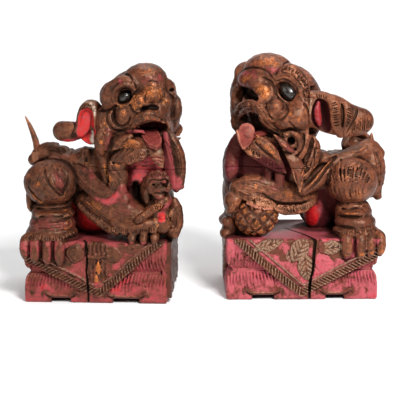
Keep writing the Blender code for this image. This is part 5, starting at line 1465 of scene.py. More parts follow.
    # --- sleeve, fringe and paw of the near foreleg
    A(Tube([(-15, 50, 130), (10, 38, 134), (38, 29, 141), (62, 22, 146), (80, 19, 146)], [14, 18, 20, 17, 11]), 4, (0, 0.25, 0))
    A(Tube([(-22, 38, 124), (-8, 27, 118), (8, 19, 116.5), (22, 14, 118), (34, 12, 122)], [4, 6, 7, 6.5, 4], [3.5, 4, 4.5, 4, 3.5], (-0.2, -1, 0.1)), 0.8, (0, 0.1, 0))
    A(Tube([(34, 11.5, 123), (44, 7.5, 126.5), (54, 6.0, 130), (62, 6.5, 136)], [5.5, 8.0, 7.5, 4.5], [3.5, 4.5, 4.5, 3.5], (0, -1, 0.1)), 0.6, (0, 0.12, 0))
    A(Tube([(60, 7, 133), (70, 6.0, 138), (80, 8.5, 143)], [5, 6.2, 5], [4, 4.2, 4], (0.1, -1, 0.1)), 0.6, (0, 0.12, 0))
    A(Ell((87, 13, 131), (11, 12, 12)), 2, (0, 0.2, 0.1))
    A(Tube([P(239, 196, 12), P(235.5, 201, 7), P(232, 207, 8), P(229, 211, 12)], [5.5, 7.0, 6.0, 3]), 1.2, (0.05, 0.55, 0))
    A(Tube([P(248.5, 203.5, 8), P(256, 207.0, 3.5), P(264, 209.2, 3.5), P(271, 208.6, 6)], [4, 4.6, 4.2, 3]), 1.2, (0.3, 0.15, 0))
    A(Ell((90, 30, 92), (9.5, 16, 14)), 3, (0.1, 0, 0.6))
    A(Ell((95, 24, 85), (8, 13, 8)), 2, (0.1, 0.1, 0.25))
    A(Ell((94, 24, 101), (7, 10, 7)), 2, (0.1, 0.1, 0.25))
    F.facets(6.5, 0.75, 41)
    F.rough(9, 0.3, 22)
    # --- eyes: long sockets that slant down and out, painted darker as shade
    F.cut(Ell(EYES_AT["right_outer"][0] + h.f * 4, EYES_AT["right_outer"][1] * 1.06 + np.array((0.6, 0, 0.6)), EYES_AT["right_outer"][2]), 1.6, (0.05, 0, 0.35))
    F.cut(Ell(EYES_AT["right_inner"][0] + h.f * 4, EYES_AT["right_inner"][1] * 1.06 + np.array((0.6, 0, 0.6)), EYES_AT["right_inner"][2]), 0.9, (0.1, 0, 0.8))
    # --- face lines
    c.cut([(236.0, 86.0), (236.8, 79.0), (241.5, 71.4), (249.5, 68.0), (259.0, 68.2), (267.5, 72.0), (273.2, 78.8)], 1.3, 0.3, 0.7, (0.1, 0, 0.8))
    c.cut([(262.5, 77.6), (268.0, 79.8), (272.6, 84.4), (274.8, 90.6), (273.4, 97.5), (268.5, 102.8), (262.0, 104.4)], 1.3, 0.2, 1.2, (0.1, 0, 0.8))
    c.cut([(274.0, 79.0), (276.0, 85.0), (276.0, 92.5), (279.0, 98.5), (284.5, 103.0)], 1.2, 0.3, 0.8, (0.1, 0, 0.8))
    c.cut([(266.6, 103.0), (266.2, 108.5), (268.4, 114.4), (273.0, 119.0), (279.4, 120.2), (285.0, 117.0), (287.4, 111.0), (285.6, 104.6)], 1.4, 0.3, 0.7, (0.05, 0, 0.9))
    c.cut([(299.5, 99.0), (304.5, 104.5), (308.0, 110.5), (309.5, 118)], 1.5, 0.3, 0.7, (0.05, 0, 0.9))
    c.ridge([(277.6, 79.4), (284.5, 77.0), (292.0, 80.4), (297.6, 87.4), (300.8, 96.0), (302.6, 103.4)], 1.5, 0.2, 0.7, (0, 0.1, 0))
    c.cut([(276.8, 75.2), (284, 73.0), (292.5, 76.0), (299.4, 83.4), (303.4, 92.0), (305.4, 101.5)], 1.0, 0.1, 0.8, (0.05, 0, 0.5))
    c.cut([(275.6, 75.6), (278.5, 69.0), (284.0, 63.6), (289.5, 61.6)], 1.4, 0.3, 0.8, (0.05, 0, 0.8))
    c.hatch([(283, 66.0), (291, 63.6), (300, 70), (308.5, 81), (310.2, 92), (309.0, 101)], [(281.5, 73.4), (288.5, 73.6), (295.6, 78.0), (301.0, 86), (303.6, 94.6), (305.0, 101.6)], 19, 1.05, 0.40, 0.4, 0.06, seed=7)

    c.comb([(235.0, 118, 1.0), (238.2, 109.5, 2.0), (245.0, 104.6, 2.6), (253.5, 105.2, 2.8), (260.6, 111.8, 2.8), (264.8, 119.4, 2.6), (271.0, 126.2, 2.4), (280.0, 131.8, 2.0), (289.5, 136.2, 1.2)], 3, 0.85, 0.3, 0.5, (0.05, 0, 0.8), 3)
    c.cut([(240.4, 118.5), (243.5, 111.8), (250.0, 108.6), (255.8, 110.8), (259.4, 117.6), (263.0, 124.8), (269.8, 130.4), (279.0, 135.6)], 0.9, 0.3, 0.6, (0.05, 0, 0.8))
    c.cut([(289.0, 121.0), (293.5, 126.0), (299.0, 130.0), (304.5, 130.5)], 1.2, 0.2, 0.8, (0.05, 0, 0.8))
    c.cut([(301.0, 128.0), (303.6, 136.0), (303.6, 144.0), (300.6, 152.0)], 1.1, 0.1, 1.0, (0.05, 0, 0.3))
    c.cut([(309.5, 120), (312.0, 128.0), (311.6, 137.0), (308.6, 148.0), (303.6, 158)], 1.2, 0.3, 0.7, (0.05, 0, 0.8))
    # gap between beard and corner leaves, and under the leaves, painted black as shade
    F.cut(Tube([P(270.0, 133.5, 6), P(276.0, 143.0, 5), P(281.0, 153.0, 5), P(286.5, 164.0, 6), P(291.0, 177.0, 7), P(297.0, 190.0, 9)], [2.2, 2.8, 2.8, 3.0, 3.0, 1.6], t=9.0, nrm=(0, 1, 0), far=9), 0.5, (0.1, 0, 1))
    c.cut([(275.5, 141.8), (282, 148.2), (289, 152.6), (297.5, 155.6)], 1.2, 0.3, 0.6, (0.1, 0, 0.9))
    c.ridge([(274.5, 138.0), (281.0, 142.6), (288.0, 148.0), (296.5, 153.0)], 0.9, 0.2, 0.6, (0.35, 0.25, 0))
    c.cut([(253, 138.5), (260, 144.6), (268, 151.6), (276.6, 160.4)], 0.8, 0.3, 0.5, (0.1, 0.1, 0.5))
    c.cut([(254.5, 141.5), (262, 149.2), (270.5, 156.0), (279.6, 163.2)], 1.4, 0.4, 0.6, (0.05, 0, 0.9))
    c.hatch([(247.5, 146.0), (256.0, 149.8), (264.6, 155.4), (273.0, 161.6), (281.5, 168.0)], [(246.0, 151.5), (254.6, 157.6), (263.0, 164.4), (273.0, 169.8), (284.0, 173.6)], 20, 1.0, 0.3, 0.4, -0.06, seed=15)
    c.hatch([(253, 134.4), (259, 137.4), (266, 141.4), (273, 146.4)], [(256.5, 137.6), (262.0, 142.0), (269.0, 147.8), (276.0, 155.0)], 8, 0.55, 0.1, 0.5, 0.0, seed=16)
    c.dab([(266, 147, 5), (271, 152, 5), (275, 156, 4)], 5, (0.05, 0.65, 0), 3.5, 0.75)
    c.ridge([(303.6, 166.5), (305.6, 172.0), (302.6, 178.0), (301.8, 185.0), (299.8, 191.5)], 0.9, 0.2, 0.6, (0.1, 0.35, 0))
    c.cut([(292.5, 167), (295.2, 175), (297.2, 184), (299.0, 190)], 0.9, 0.2, 0.6, (0.2, 0, 0.6))
    c.hatch([(316, 134), (314.0, 144), (311, 154), (306, 165), (301, 172)], [(309.5, 143.5), (307.5, 152), (304.5, 160), (302.5, 170), (300.5, 176)], 18, 0.7, 0.15, 0.45, 0.0, seed=17)
    c.cut([(318.0, 140), (315.6, 150), (312.6, 160), (307.6, 170), (303.5, 178)], 1.0, 0.2, 0.8, (0.05, 0, 0.6))
    # sash edges
    c.ridge([(300.5, 193.0), (308, 187.0), (315.5, 179.0), (322, 170.0), (329.5, 161.5), (338, 155.6), (348, 152.6), (358, 151.2), (366, 147.0)], 1.2, 0.5, 0.7, (0.1, 0.45, 0))
    c.cut([(304.5, 194.0), (311, 188.6), (318.6, 180.4), (324.6, 171.6), (331.6, 163.6)], 1.5, 0.5, 0.7, (0.1, 0, 0.9))
    c.cut([(303.0, 187.0), (309, 180.0), (316.5, 172.0), (325.0, 163.6), (336, 156.6)], 2.6, -0.6, 2.0, None)
    c.ridge([(303.5, 176.5), (311, 169.5), (319, 163.0), (328, 157.6), (338, 154.0)], 1.0, 0.3, 0.9, (0.1, 0.2, 0))
    c.dab([(311, 172.5, 5), (316, 168, 4)], 5, (0.2, 0.5, 0), 4, 0.7)
    # ball: deep gouges from the top rim, smooth below
    c.hatch([(326.5, 170.5), (331, 163.5), (338, 159.0), (346, 157.4), (354, 158.0), (362, 161.2), (368.4, 167.5), (372.0, 176)],
            [(327.5, 182.0), (333, 184.0), (339, 183), (345, 187.0), (351, 184), (357, 181.0), (362, 182), (368, 187)], 17, 1.15, 0.35, 0.5, 0.05, seed=9, jitter=0.35)
    c.hatch([(330, 185), (338, 187), (347, 189), (356, 187), (364, 188)], [(334, 194), (340, 198), (348, 200), (357, 198), (364, 195)], 10, 0.55, 0.0, 0.6, 0.05, seed=10, jitter=0.4)
    c.dab([(352, 193, 5), (359, 194, 5), (345, 177, 3), (356, 171, 4)], 5, (0, 0.75, 0), 3, 0.8)
    c.dab([(364, 186, 5), (366, 178, 5)], 5, (0.3, 0, 0), 4, 0.5)
    c.comb([(378, 150, 4), (383.5, 162, 5), (384.5, 176, 5), (381, 192, 4)], 8, 0.8, 0.15, 0.5, None, 5)
    c.comb([(374, 150, 1.5), (378, 160, 2.5), (379, 172, 2.5), (378, 186, 2)], 3, 0.8, 0.15, 0.5, None, 6)
    # cuff and foot
    c.cut([(335, 206.4), (344, 208.8), (354, 208.8), (366, 205.6)], 1.4, 0.4, 0.8, (0.05, 0, 0.9))
    c.cut([(337, 215.0), (346, 217.0), (357, 217.0), (369, 213.6)], 1.3, 0.3, 0.8, (0.05, 0, 0.7))
    c.ridge([(338, 211.6), (347, 213.6), (357, 213.6), (368, 210.4)], 1.2, 0.2, 1.0, (0.1, 0.5, 0))
    c.lay([(335, 228.5), (343, 231.0), (353, 231.6), (363, 230.6), (373, 227.5)], 3.6, 2.2, 0.2, 1.2, (0.1, 0.1, 0))
    c.hatch([(336, 226.0), (345, 228.6), (356, 228.6), (367, 226.6), (374, 223.6)], [(333, 233.4), (344, 236.0), (356, 236.4), (368, 234.4), (377, 230.5)], 17, 0.9, 0.25, 0.45, 0.0, seed=18)
    for u in (-98.0, -85.2, -70.0):
        F.cut(Tube([(u, -5, 68), (u, -3.5, 76), (u, -1, 83)], [1.2, 1.5, 1.0], far=4), 0.6, (0.1, 0, 0.9))
    # fringe of the sleeve, in scallops
    c.hatch([(237.5, 190.0), (243, 193.6), (249, 196.4), (254, 198.4)], [(240.0, 196.6), (246.0, 200.6), (251, 203.4), (257.0, 205.8)], 10, 0.75, 0.25, 0.4, 0.0, seed=21)
    c.hatch([(251.5, 197.6), (257.0, 194.2), (264.0, 196.4), (269.6, 201.6)], [(254.0, 203.0), (258.6, 207.0), (264.6, 208.6), (270.6, 207.6)], 10, 0.75, 0.25, 0.4, 0.0, seed=22)
    c.hatch([(271.0, 199.6), (281, 204.0), (292, 205.4), (303, 204.0), (313.5, 198.6)], [(273.0, 208.0), (282, 211.6), (293, 213.0), (304, 211.6), (314.6, 205.0)], 24, 0.75, 0.25, 0.4, 0.0, seed=23)
    c.cut([(236.5, 190.5), (243.0, 194.0), (249.0, 196.0), (256.5, 193.0), (264.0, 194.8), (271.0, 199.6), (281.0, 203.0), (292.0, 204.4), (303.0, 203.0), (313.0, 198.0)], 0.9, 0.2, 0.6, (0.05, 0, 0.5))
    c.cut([(293.8, 206.5), (294.2, 212.5)], 1.0, 0.5, 0.5, DARK)
    c.comb([(238, 185, 2.5), (252, 184.0, 5), (268, 190.0, 6), (285, 196.5, 5), (303, 198, 3)], 4, 0.6, 0.05, 0.7, None, 24)
    c.dab([(285, 192, 5), (291, 195, 5), (309, 194, 4), (256, 187, 4)], 5, (0, 0.8, 0), 3, 0.8)
    c.dab([(262, 182, 5), (274, 188, 5)], 5, (0.5, 0.1, 0), 3, 0.6)
    # orange and rose places of the head: rubbed gilt and paint, partly painted highlights where the light catches
    c.dab([(264, 62, 8), (272, 60, 9), (276, 66, 7), (262, 56, 6), (257, 62, 6)], 6, (0.22, 0.78, 0), 5, 0.9)
    c.dab([(270, 71, 6), (277, 70, 4)], 4, (0.60, 0.1, 0.25), 3, 0.6)
    c.dab([(246, 75, 7), (254, 74, 6), (240, 80, 5)], 6, (0.42, 0.45, 0.1), 4, 0.75)
    c.dab([(265.5, 93, 7), (261, 88, 6), (266, 98, 5), (243.5, 79.5, 5), (249, 77.5, 4), (276, 105, 3), (290, 113.5, 4), (299, 119, 4)], 5, (0.1, 0.85, 0), 3, 0.8)
    plinth(F, front_right(), -103.5, 95, 130, ((-19.5, 81.5), (-14.5, 0.0), 1.75), ((46.5, 14.5), (-47.5, 12.0)))
    F.cut(Tube([P(284, 229, 70), P(293, 232, 52), P(303, 235, 32), P(312.6, 238.6, 6), P(314, 240.5, 0)], [0.8, 1.3, 1.5, 1.6, 1.2], far=5), 0.3, DARK)
    ear_room(F, *RIGHT_OUTER, (48, 62))
    ear_room(F, *RIGHT_INNER, (42, 58))
    return F, c


# ------------------------------------------------------------------ small carvings
def root_cut(F, root, d, tenon=True):
    """Flat root face of an ear, and the square tenon behind it."""
    root, d = np.array(root, float), np.array(d, float)
    d /= np.linalg.norm(d)
    F.cut(Slab(root + d * (-60 + 0.15), (120, 200, 200), d, 0.1))
    if tenon:
        F.add(Slab(root + d * ((12 - 16) / 2), (16 + 12, 11, 16), d, 0.6), 0.3, (0, 0, 0.2))


def ear_left_outer():
    """Near ear: hooded shell open to the front and below, with a hanging lobe."""
    root, d = LEFT_OUTER
    F = Field((-78, 2, 180), (14, 60, 284), 0.7)
    A, P = F.add, LEFT.at
    ax = np.array((np.array(d) / np.linalg.norm(d), (-0.243, -0.97, 0), (0, 0, 1.0)))
    R, D, S = np.array(root), ax[0], ax[1]
    A(Ell(R + D * 13 + ax[2] * 1.5, (18.5, 17, 29), ax), 1)
    A(Ell(R + D * 10 + ax[2] * 10, (14.5, 16, 20), ax), 3)
    A(Tube([P(76, 131, 33), P(69, 131.5, 36), P(64.5, 131.3, 38)], [11.5, 13.5, 13.2], [10, 12, 11], (0.1, -1, 0)), 1.5)
    A(Ell(P(60.5, 131, 38), (10, 10.5, 12.2)), 3)
    F.rough(6, 0.35, 5)
    # hollow, open below; the upper panel lies in front of the deeper lower one
    F.cut(Tube([P(85.5, 116.5, 18), P(84.5, 124, 17), P(84, 131, 16)], [10.5, 12.0, 12.5], [13, 13, 13], (0.1, -1, 0)), 0.8, RED)
    F.cut(Tube([P(86, 133, 18), P(85.5, 141, 16), P(84, 149, 14)], [12.5, 13.0, 11], [17, 19, 18], (0.1, -1, 0)), 0.8, RED)
    A(Tube([P(88, 113, 30), P(84, 123, 29), P(79, 131, 28), P(75.5, 137.5, 27)], [9, 10.5, 9, 3], [4, 4, 3.5, 2], (-0.05, -1, 0.12)), 1.2, (0.82, 0, 0))
    A(Tube([P(73.5, 137.5, 20), P(79, 143.5, 20), P(86, 146.5, 20), P(93, 144, 20)], [2.6, 3.2, 3.4, 3]), 1.5, (1, 0, 0.1))
    c = Carver(F, LEFT)
    c.cut([(79.5, 109.8), (84, 108.6), (89, 108.8), (93, 111.5)], 1.0, 0.2, 0.8, (0.2, 0.2, 0.1))
    c.cut([(73.5, 120.0), (75.0, 124), (74.5, 129), (72.5, 134)], 1.2, 0.2, 0.8, (0.1, 0, 0.6))
    c.chalk([(91.0, 103.5, 2.0), (93.5, 106, 2.6), (94.6, 111, 2.4), (94.6, 117, 1.6)], 2.5, 1.2, 0.62)
    c.chalk([(92.6, 131, 2.4), (93.0, 135, 3.2), (92.0, 140, 3.8), (91.0, 144.0, 3.2)], 2.5, 1.2, 0.72)
    c.chalk([(78, 104.5), (82, 102.6), (86, 102.0), (90, 102.8)], 2.0, 1.0, 0.40)
    c.chalk([(84, 114), (86, 119), (85, 124)], 3.0, 3.0, 0.14)
    c.hatch([(77, 111.5), (80, 106.5), (86, 103.8), (92, 104)], [(79, 113), (82, 109), (87, 107.5), (92, 107.5)], 8, 0.6, 0.1, 0.5, 0.0, seed=3)
    F.tint(Ell(P(68, 142, 22), (14, 14, 3.5)), (0.9, 0, 0), 2)
    root_cut(F, root, d)
    return F


def ear_right_outer():
    """Near ear of the right lion: rolled rim, hollow and folded, gouged lobe."""
    root, d = RIGHT_OUTER
    F = Field((-102, -8, 198), (6, 48, 294), 0.7)
    A, P = F.add, RIGHT.at
    A(Tube([P(305, 109, 19), P(313, 109.5, 18), P(322, 111.5, 16.5), P(331, 114, 15), P(343, 119.0, 13), P(354, 120.8, 12.5), P(361, 122, 13)],
           [22.5, 22.8, 23.5, 25, 22.2, 19.0, 16.2], [15, 16, 16.5, 16.5, 15.5, 13.5, 11.5], (0.1, -1, 0)), 1)
    A(Ell(P(360.5, 119.5, 13), (16, 11, 14.5)), 3)
    A(Ell(P(352.0, 127.0, 12), (17, 11.5, 11.5)), 3)
    F.rough(6, 0.35, 6)
    c = Carver(F, RIGHT)
    # hollow, painted darker as shade, with a lit red fold
    F.cut(Tube([P(321, 104.5, 0), P(320.5, 112, -1), P(321.5, 121, -1), P(324, 130, 0)], [9, 11.5, 12.5, 9.5], [15, 17, 17, 14], (0.1, -1, 0)), 0.7, (0.35, 0, 0.75))
    A(Tube([P(318.5, 102.5, 8), P(317, 110, 7), P(318, 118, 7.5), P(319.5, 124, 9)], [2.5, 4.6, 4.8, 2.5], [3, 4.5, 4.5, 3], (0.5, -1, 0)), 0.8, (0.80, 0, 0.46))
    # rolled rim
    c.lay([(312.5, 94.5), (319, 94.8), (326, 96.5), (332, 101), (334.6, 108), (335.2, 117), (336.5, 126), (340.5, 133.5)], 6.4, 3.6, 0.4, 0.8, UMB)
    # steps of the folds
    c.cut([(341.0, 102.6), (342.6, 109), (342.8, 117), (343.0, 125), (344.6, 132.5)], 2.3, 1.4, 0.6, (0.05, 0, 1))
    c.lay([(346.5, 105.0), (348.5, 112), (348.0, 120), (346.3, 128), (345.5, 134)], 4.6, 2.6, 0.2, 1.2, UMB)
    c.cut([(357.4, 108.5), (356.0, 115), (352.5, 122), (348.5, 129.5), (346.8, 134.5)], 1.5, 0.4, 0.8, (0.1, 0, 0.7))
    c.hatch([(353.5, 122.5), (358, 118.5), (363, 116.0), (368, 115.0), (371.8, 118)], [(350.5, 135.0), (355, 134.4), (360, 133.0), (366, 131.6), (371.6, 128.5)], 10, 0.95, 0.15, 0.6, 0.0, seed=4)
    c.hatch([(345.0, 106.5), (346.0, 113), (346.5, 120), (345.5, 127)], [(354.5, 110.0), (353.5, 116.5), (351, 122), (348.0, 129)], 9, 0.7, 0.1, 0.6, 0.0, seed=5)
    c.hatch([(331.0, 103), (331.5, 111), (332.0, 119), (333.5, 127)], [(338.5, 101), (339.5, 109), (339.8, 117.5), (340.0, 126)], 10, 0.6, 0.1, 0.5, 0.0, seed=6)
    c.chalk([(311.6, 93.0), (311.2, 100), (310.6, 108), (310.2, 113)], 1.3, 0.8, 0.5)
    c.hatch([(315, 93.5), (321, 94), (327, 96)], [(317, 98.6), (322.5, 98.6), (327, 100.8)], 6, 0.6, 0.1, 0.5, 0.0, seed=8)
    c.cut([(331.5, 129), (335, 133.0), (338.5, 135.5)], 1.0, 0.1, 0.8, (0.2, 0, 0.4))
    root_cut(F, root, d)
    return F


def ear_inner(place, root, d, side, cup, lobe, hollow):
    """Far ear: cup with a hollow on its outer side and a folded lobe."""
    root, d = np.array(root, float), np.array(d, float)
    d /= np.linalg.norm(d)
    ax = np.array((d, np.cross((0, 0, 1), d), (0, 0, 1.0)))

    def at(*p):
        return root + np.array(p, float) @ ax
    pts = np.array([at(-22, -26, -40), at(62, 26, 40), at(-22, 26, 40), at(62, -26, -40), root])
    F = Field(pts.min(0) - 6, pts.max(0) + 6, FINE)
    F.add(Ell(at(*cup[0]), cup[1], ax), 1)
    F.add(Ell(at(7, 0, 7), (12, 13, 18), ax), 3)
    F.add(Tube([at(*p) for p in lobe[0]], lobe[1]), 2)
    F.rough(6, 0.35, 9)
    F.cut(Ell(at(*hollow[0]), hollow[1], ax), 0.8, RED)
    n = ax[1] * np.sign(hollow[0][1])
    for i in range(6):
        t = i / 5
        a, b = at(24 + 8 * t, 0, 6 - 14 * t), at(40 - 2 * t, 0, 0 - 18 * t)
        F.cut(Tube([a + n * 14, (a + b) / 2 + n * 11.5, b + n * 10], [1.6, 2.2, 1.2], far=4), 0.5)
        F.cut(Tube([a - n * 14, (a + b) / 2 - n * 11.5, b - n * 10], [1.6, 2.2, 1.2], far=4), 0.5)
    root_cut(F, root, d)
    return F


def tongue_field(place, root, tip, head, width=24.0, thick=7.0):
    """Pointed board with softened edges."""
    root, tip = np.array(root, float), np.array(tip, float)
    x = (tip - root) / np.linalg.norm(tip - root)
    n = np.cross(np.cross(head.a, x), x)
    y = -n / np.linalg.norm(n)
    z = np.cross(x, y)
    L = np.linalg.norm(tip - root)
    lo = np.minimum(root, tip) - 18
    F = Field(lo, np.maximum(root, tip) + 18, 0.6)
    X, Y, Z = np.meshgrid(*F.ax, indexing="ij")
    q = np.stack([X - root[0], Y - root[1], Z - root[2]], -1)
    s, w, t = q @ x, q @ y, q @ z
    half = np.interp(s / L, (0, 0.55, 0.8, 1.0), (0.5, 0.5, 0.36, 0.0)) * width
    curl = 1.2 * (w / (width / 2)) ** 2 - 0.6
    dx = np.maximum(-s, s - L)
    dw = (np.abs(w) - half) * np.where(s / L > 0.55, 0.78, 1.0)
    dt = np.abs(t) - thick / 2 + 0.35 + 0.25 * noise(X, Y, Z, 4, 3)
    dt = np.where(t < 0, dt, dt)
    F.D = np.maximum(np.maximum(dx, dw), dt) + 0.3
    F.D = np.maximum(F.D, 0.7 * (dw + dt) + 0.5)
    for i, cname in enumerate(CH):
        F.C[cname][...] = (0.44, 0.0, 0.28)[i]
    if place is RIGHT:
        P = place.at
        F.D[...] = 8.0
        F.add(Tube([root - np.array((0, 0, 3.0)), P(253.0, 135.5, 10), P(247.5, 135.0, 3.5)], [7, 7, 7], [3, 2.8, 2.2], (0, -0.35, 1.0)), 0.6, (0.44, 0, 0.3))
        F.add(Tube([P(246.6, 131.0, 3.0), P(245.8, 136.0, 1.0), P(244.7, 142.0, 0.5), P(243.2, 149.5, 1.5)], [10.6, 10.4, 7.4, 0.8], [2.2, 2.4, 2.2, 1.0], (0.1, -1, 0.2)), 0.8, (0.46, 0, 0.33))
        F.add(Tube([P(253.6, 131.5, 4), P(250.5, 138.5, 1), P(244.4, 148.2, 0)], [1.6, 1.8, 0.9]), 1.0, (0.2, 0.3, 0))
        F.add(Tube([P(237.0, 130.5, 3), P(238.8, 139.5, 0), P(242.6, 148.0, 0)], [1.4, 1.6, 0.9]), 1.0, (0.3, 0.1, 0.1))
    return F, (x, y, z, L)


def tail_field():
    """Let-in tail spike, curved and knife cut."""
    F = Field((-113, 56, 160), (-76, 76, 241), 0.6)
    pts = [(-86.5, 66, 164.1), (-86.5, 66, 176), (-87.2, 66, 192), (-90, 66, 207), (-95, 66, 221), (-101.5, 66, 235.3)]
    r = np.array((1, 1, 0.95, 0.8, 0.6, 0.2)) * 5.0
    F.add(Tube(pts, r, r * 0.86, (0, 1, 0)), 1)
    # flat facets of the knife, and the lengthwise split
    F.cut(Slab((-83.0, 58.5, 214), (34, 8, 44), (0.95, 0.1, 0.0)), 0.6, (0.3, 0.1, 0))
    F.cut(Tube([(-98.5, 61, 228), (-93.5, 60.5, 217), (-90.8, 60.3, 206), (-89.3, 60.6, 196)], [0.7, 1.3, 1.2, 0.5], far=4), 0.4, DARK)
    F.cut(Tube([(-86.5, 60.6, 197), (-85.0, 60.8, 184), (-84.6, 61, 172)], [0.4, 0.8, 0.4], far=4), 0.4, (0.1, 0, 0.5))
    F.rough(5, 0.4, 12)
    F.D = np.maximum(F.D, np.broadcast_to(164.15 - F.ax[2][None, None, :], F.D.shape))
    F.D = np.maximum(F.D, np.where(F.ax[2][None, None, :] < 180, np.sqrt(
        (F.ax[0][:, None, None] + 86.5) ** 2 + (F.ax[1][None, :, None] - 66) ** 2) - 5.05, -9))
    return F


CUB_BLOBS = (((76, 12, 157), (15, 15, 16)), ((80, 3, 147), (9, 9, 8)), ((80, 18, 124), (17, 15, 28)),
             ((68, 22, 146), (13, 13, 20)), ((84, 12, 104), (12, 12, 13)))
CUB_LIMB = ((76, 8, 128), (62, 2, 116), (55, 0, 111)), (7, 6, 6)


def cub_body(F, grow=0.0):
    for c, r in CUB_BLOBS:
        F.add(Ell(c, np.array(r) + grow), 1.5)
    F.add(Tube(CUB_LIMB[0], np.array(CUB_LIMB[1], float) + grow), 1.5)
    return F


def cub_field():
    """Cub that climbs the foreleg: curled crown, brows, snout, arm and haunch."""
    F = Field((40, -14, 84), (104, 44, 180), 0.7)
    cub_body(F)
    A, P = F.add, LEFT.at
    A(Ell(P(157, 178.0, 8), (13.0, 12, 10.0)), 3, (0.25, 0.1, 0))
    for px, py in ((149.5, 178), (152.5, 173.6), (158, 171.8), (163.6, 174), (167, 178.4)):
        A(Ell(P(px, py, 6), (4.4, 4.4, 3.8)), 1.0, (0.2, 0.15, 0))
    A(Ell(P(153.8, 181.5, 0), (4.0, 4, 2.8)), 1.0, (0.35, 0.15, 0))
    A(Ell(P(163.6, 181.5, 0), (4.0, 4, 2.8)), 1.0, (0.35, 0.15, 0))
    A(Ell(P(159.6, 186.6, -3), (4.2, 4.6, 3.6)), 1.4, (0.15, 0.25, 0))
    A(Tube([P(152.5, 190.6, 0), P(156.0, 189.0, -3), P(159.8, 190.4, -4), P(163.6, 188.8, -3), P(167.0, 190.4, 0)], [2.2, 2.8, 2.4, 2.8, 2.0]), 1.2, (0.2, 0.15, 0))
    A(Ell(P(159.8, 197.0, -1), (6.0, 5.5, 4.0)), 1.6, (0.3, 0.1, 0))
    A(Ell(P(150.6, 188, 3), (4.6, 6, 8.0)), 2.0, (0.2, 0.1, 0))
    A(Ell(P(169.0, 187, 4), (3.4, 5, 7.0)), 2.0, (0.15, 0.1, 0))
    A(Tube([P(149, 187, 5), P(146.5, 194, 6), P(147.5, 201, 7)], [3.5, 4.5, 3.5]), 1, UMB)
    A(Ell(P(161.5, 202.5, 3), (9.5, 8, 7.0)), 1.5, (0.25, 0.15, 0))
    F.rough(4.5, 0.5, 14)
    F.cut(Ell(P(153.6, 184.8, -2.4), (2.2, 4, 1.2)), 0.9, (0.1, 0, 0.4))
    F.cut(Ell(P(164.0, 184.8, -2.4), (2.2, 4, 1.2)), 0.9, (0.1, 0, 0.4))
    c = Carver(F, LEFT)
    c.cut([(153.6, 193.4), (157.0, 192.6), (160.0, 193.8), (163.4, 192.6), (166.6, 193.6)], 1.1, 0.2, 0.8, (0.2, 0, 1.2))
    c.cut([(148.5, 183.0), (150.5, 180.2), (154.5, 179.4), (159, 180.6), (163.6, 179.4), (167.5, 181)], 0.9, 0.2, 0.6, DARK)
    c.cut([(148.0, 190.0), (150.0, 196), (154, 200.0), (159, 201)], 1.0, 0.2, 0.6, (0.1, 0, 0.8))
    c.hatch([(150, 174), (155, 171.5), (161, 171.5), (166, 175)], [(151, 179), (156, 177.5), (161, 177.5), (166, 179.5)], 7, 0.6, 0.2, 0.4, 0.0, seed=9)
    c.lay([(165.5, 199.5), (158.5, 205.5), (150, 211.5), (143.5, 215.5), (138.5, 219.5)], 5.2, 3.6, 0.4, 0.8, (0.05, 0.35, 0), ticks(3.2, 1.0, 1.6))
    c.lay([(170, 200.5), (166.5, 205), (163, 209)], 4.6, 2.6, 0.3, 0.8, (0.45, 0.1, 0))
    c.lay([(141, 219.5), (147.5, 222.5), (154, 223.5), (159.5, 221.5)], 4.0, 2.2, 0.2, 1.0, UMB, ticks(3.4, 0.9, 1.6))
    c.hatch([(151, 199), (155, 201), (160, 204), (166, 204)], [(149, 205), (152, 208), (156, 211), (163, 210)], 7, 0.8, 0.15, 0.5, 0.1, seed=11)
    c.hatch([(167, 208), (170.5, 206.5), (174.5, 207.5), (178, 211)], [(168, 228), (171, 231.5), (175, 233.0), (178.5, 229)], 8, 0.9, 0.15, 0.6, 0.1, seed=12)
    F.tint(Ell(P(161.5, 217, 2), (6.0, 8, 7.5)), (0.92, 0, 0), 1.2)
    F.tint(Ell(P(177.5, 226.5, 6), (3.5, 6, 5.0)), (0.3, 0.8, 0), 1.5)
    F.tint(Ell(P(148.5, 213.5, 2), (5, 5, 4.0)), (0.2, 0.8, 0), 1.5)
    return F


BALL = (56, 21, 108), (29, 25, 26.2)


def ball_field():
    """Brocade ball: rows of pointed diamond studs between crossing cords."""
    c, r = np.array(BALL[0], float), np.array(BALL[1], float)
    F = Field(c - r - 3, c + r + 3, 0.65)

    def disp(x, y, z, q):
        lon = np.arctan2(x + 0.15 * z, -y) * 4.5
        lat = np.arcsin(np.clip(z, -1, 1)) * 4.8
        bend = 2.3 * (noise(x * 1.6, y * 1.6, z * 1.6, 1.0, 3) - 0.5)
        p, s = lon + lat + bend, lon - lat - bend * 0.7
        stud = np.minimum(np.abs(np.sin(p)), np.abs(np.sin(s)))
        tall = 0.75 + 0.5 * noise(np.floor(p / np.pi), np.floor(s / np.pi), 0 * p, 1.0, 5)
        skew = noise(x * 3, y * 3, z * 3, 1.0, 9) - 0.5
        return -3.0 + 4.1 * np.minimum(stud, 0.82 + 0.3 * skew) ** 0.9 * tall + 1.7 * skew
    F.add(Ell(c, r, disp=disp, reach=0.6), 1, (0.15, 0.3, 0))
    X, Y, Z = np.meshgrid(*F.ax, indexing="ij")
    q = np.sqrt(((X - c[0]) / r[0]) ** 2 + ((Y - c[1]) / r[1]) ** 2 + ((Z - c[2]) / r[2]) ** 2)
    # gold on the stud tips, partly rubbed gilt and partly painted highlight; near-black in the valleys between studs as
    # painted shade
    F.C["red"][...] = 0.12
    F.C["gold"][...] = 0.10 + 0.60 * ramp(q, 0.92, 1.0)
    F.C["dark"][...] = 0.6 * ramp(0.915 - q, -0.005, 0.03)
    F.rough(3.5, 0.5, 17)
    return F


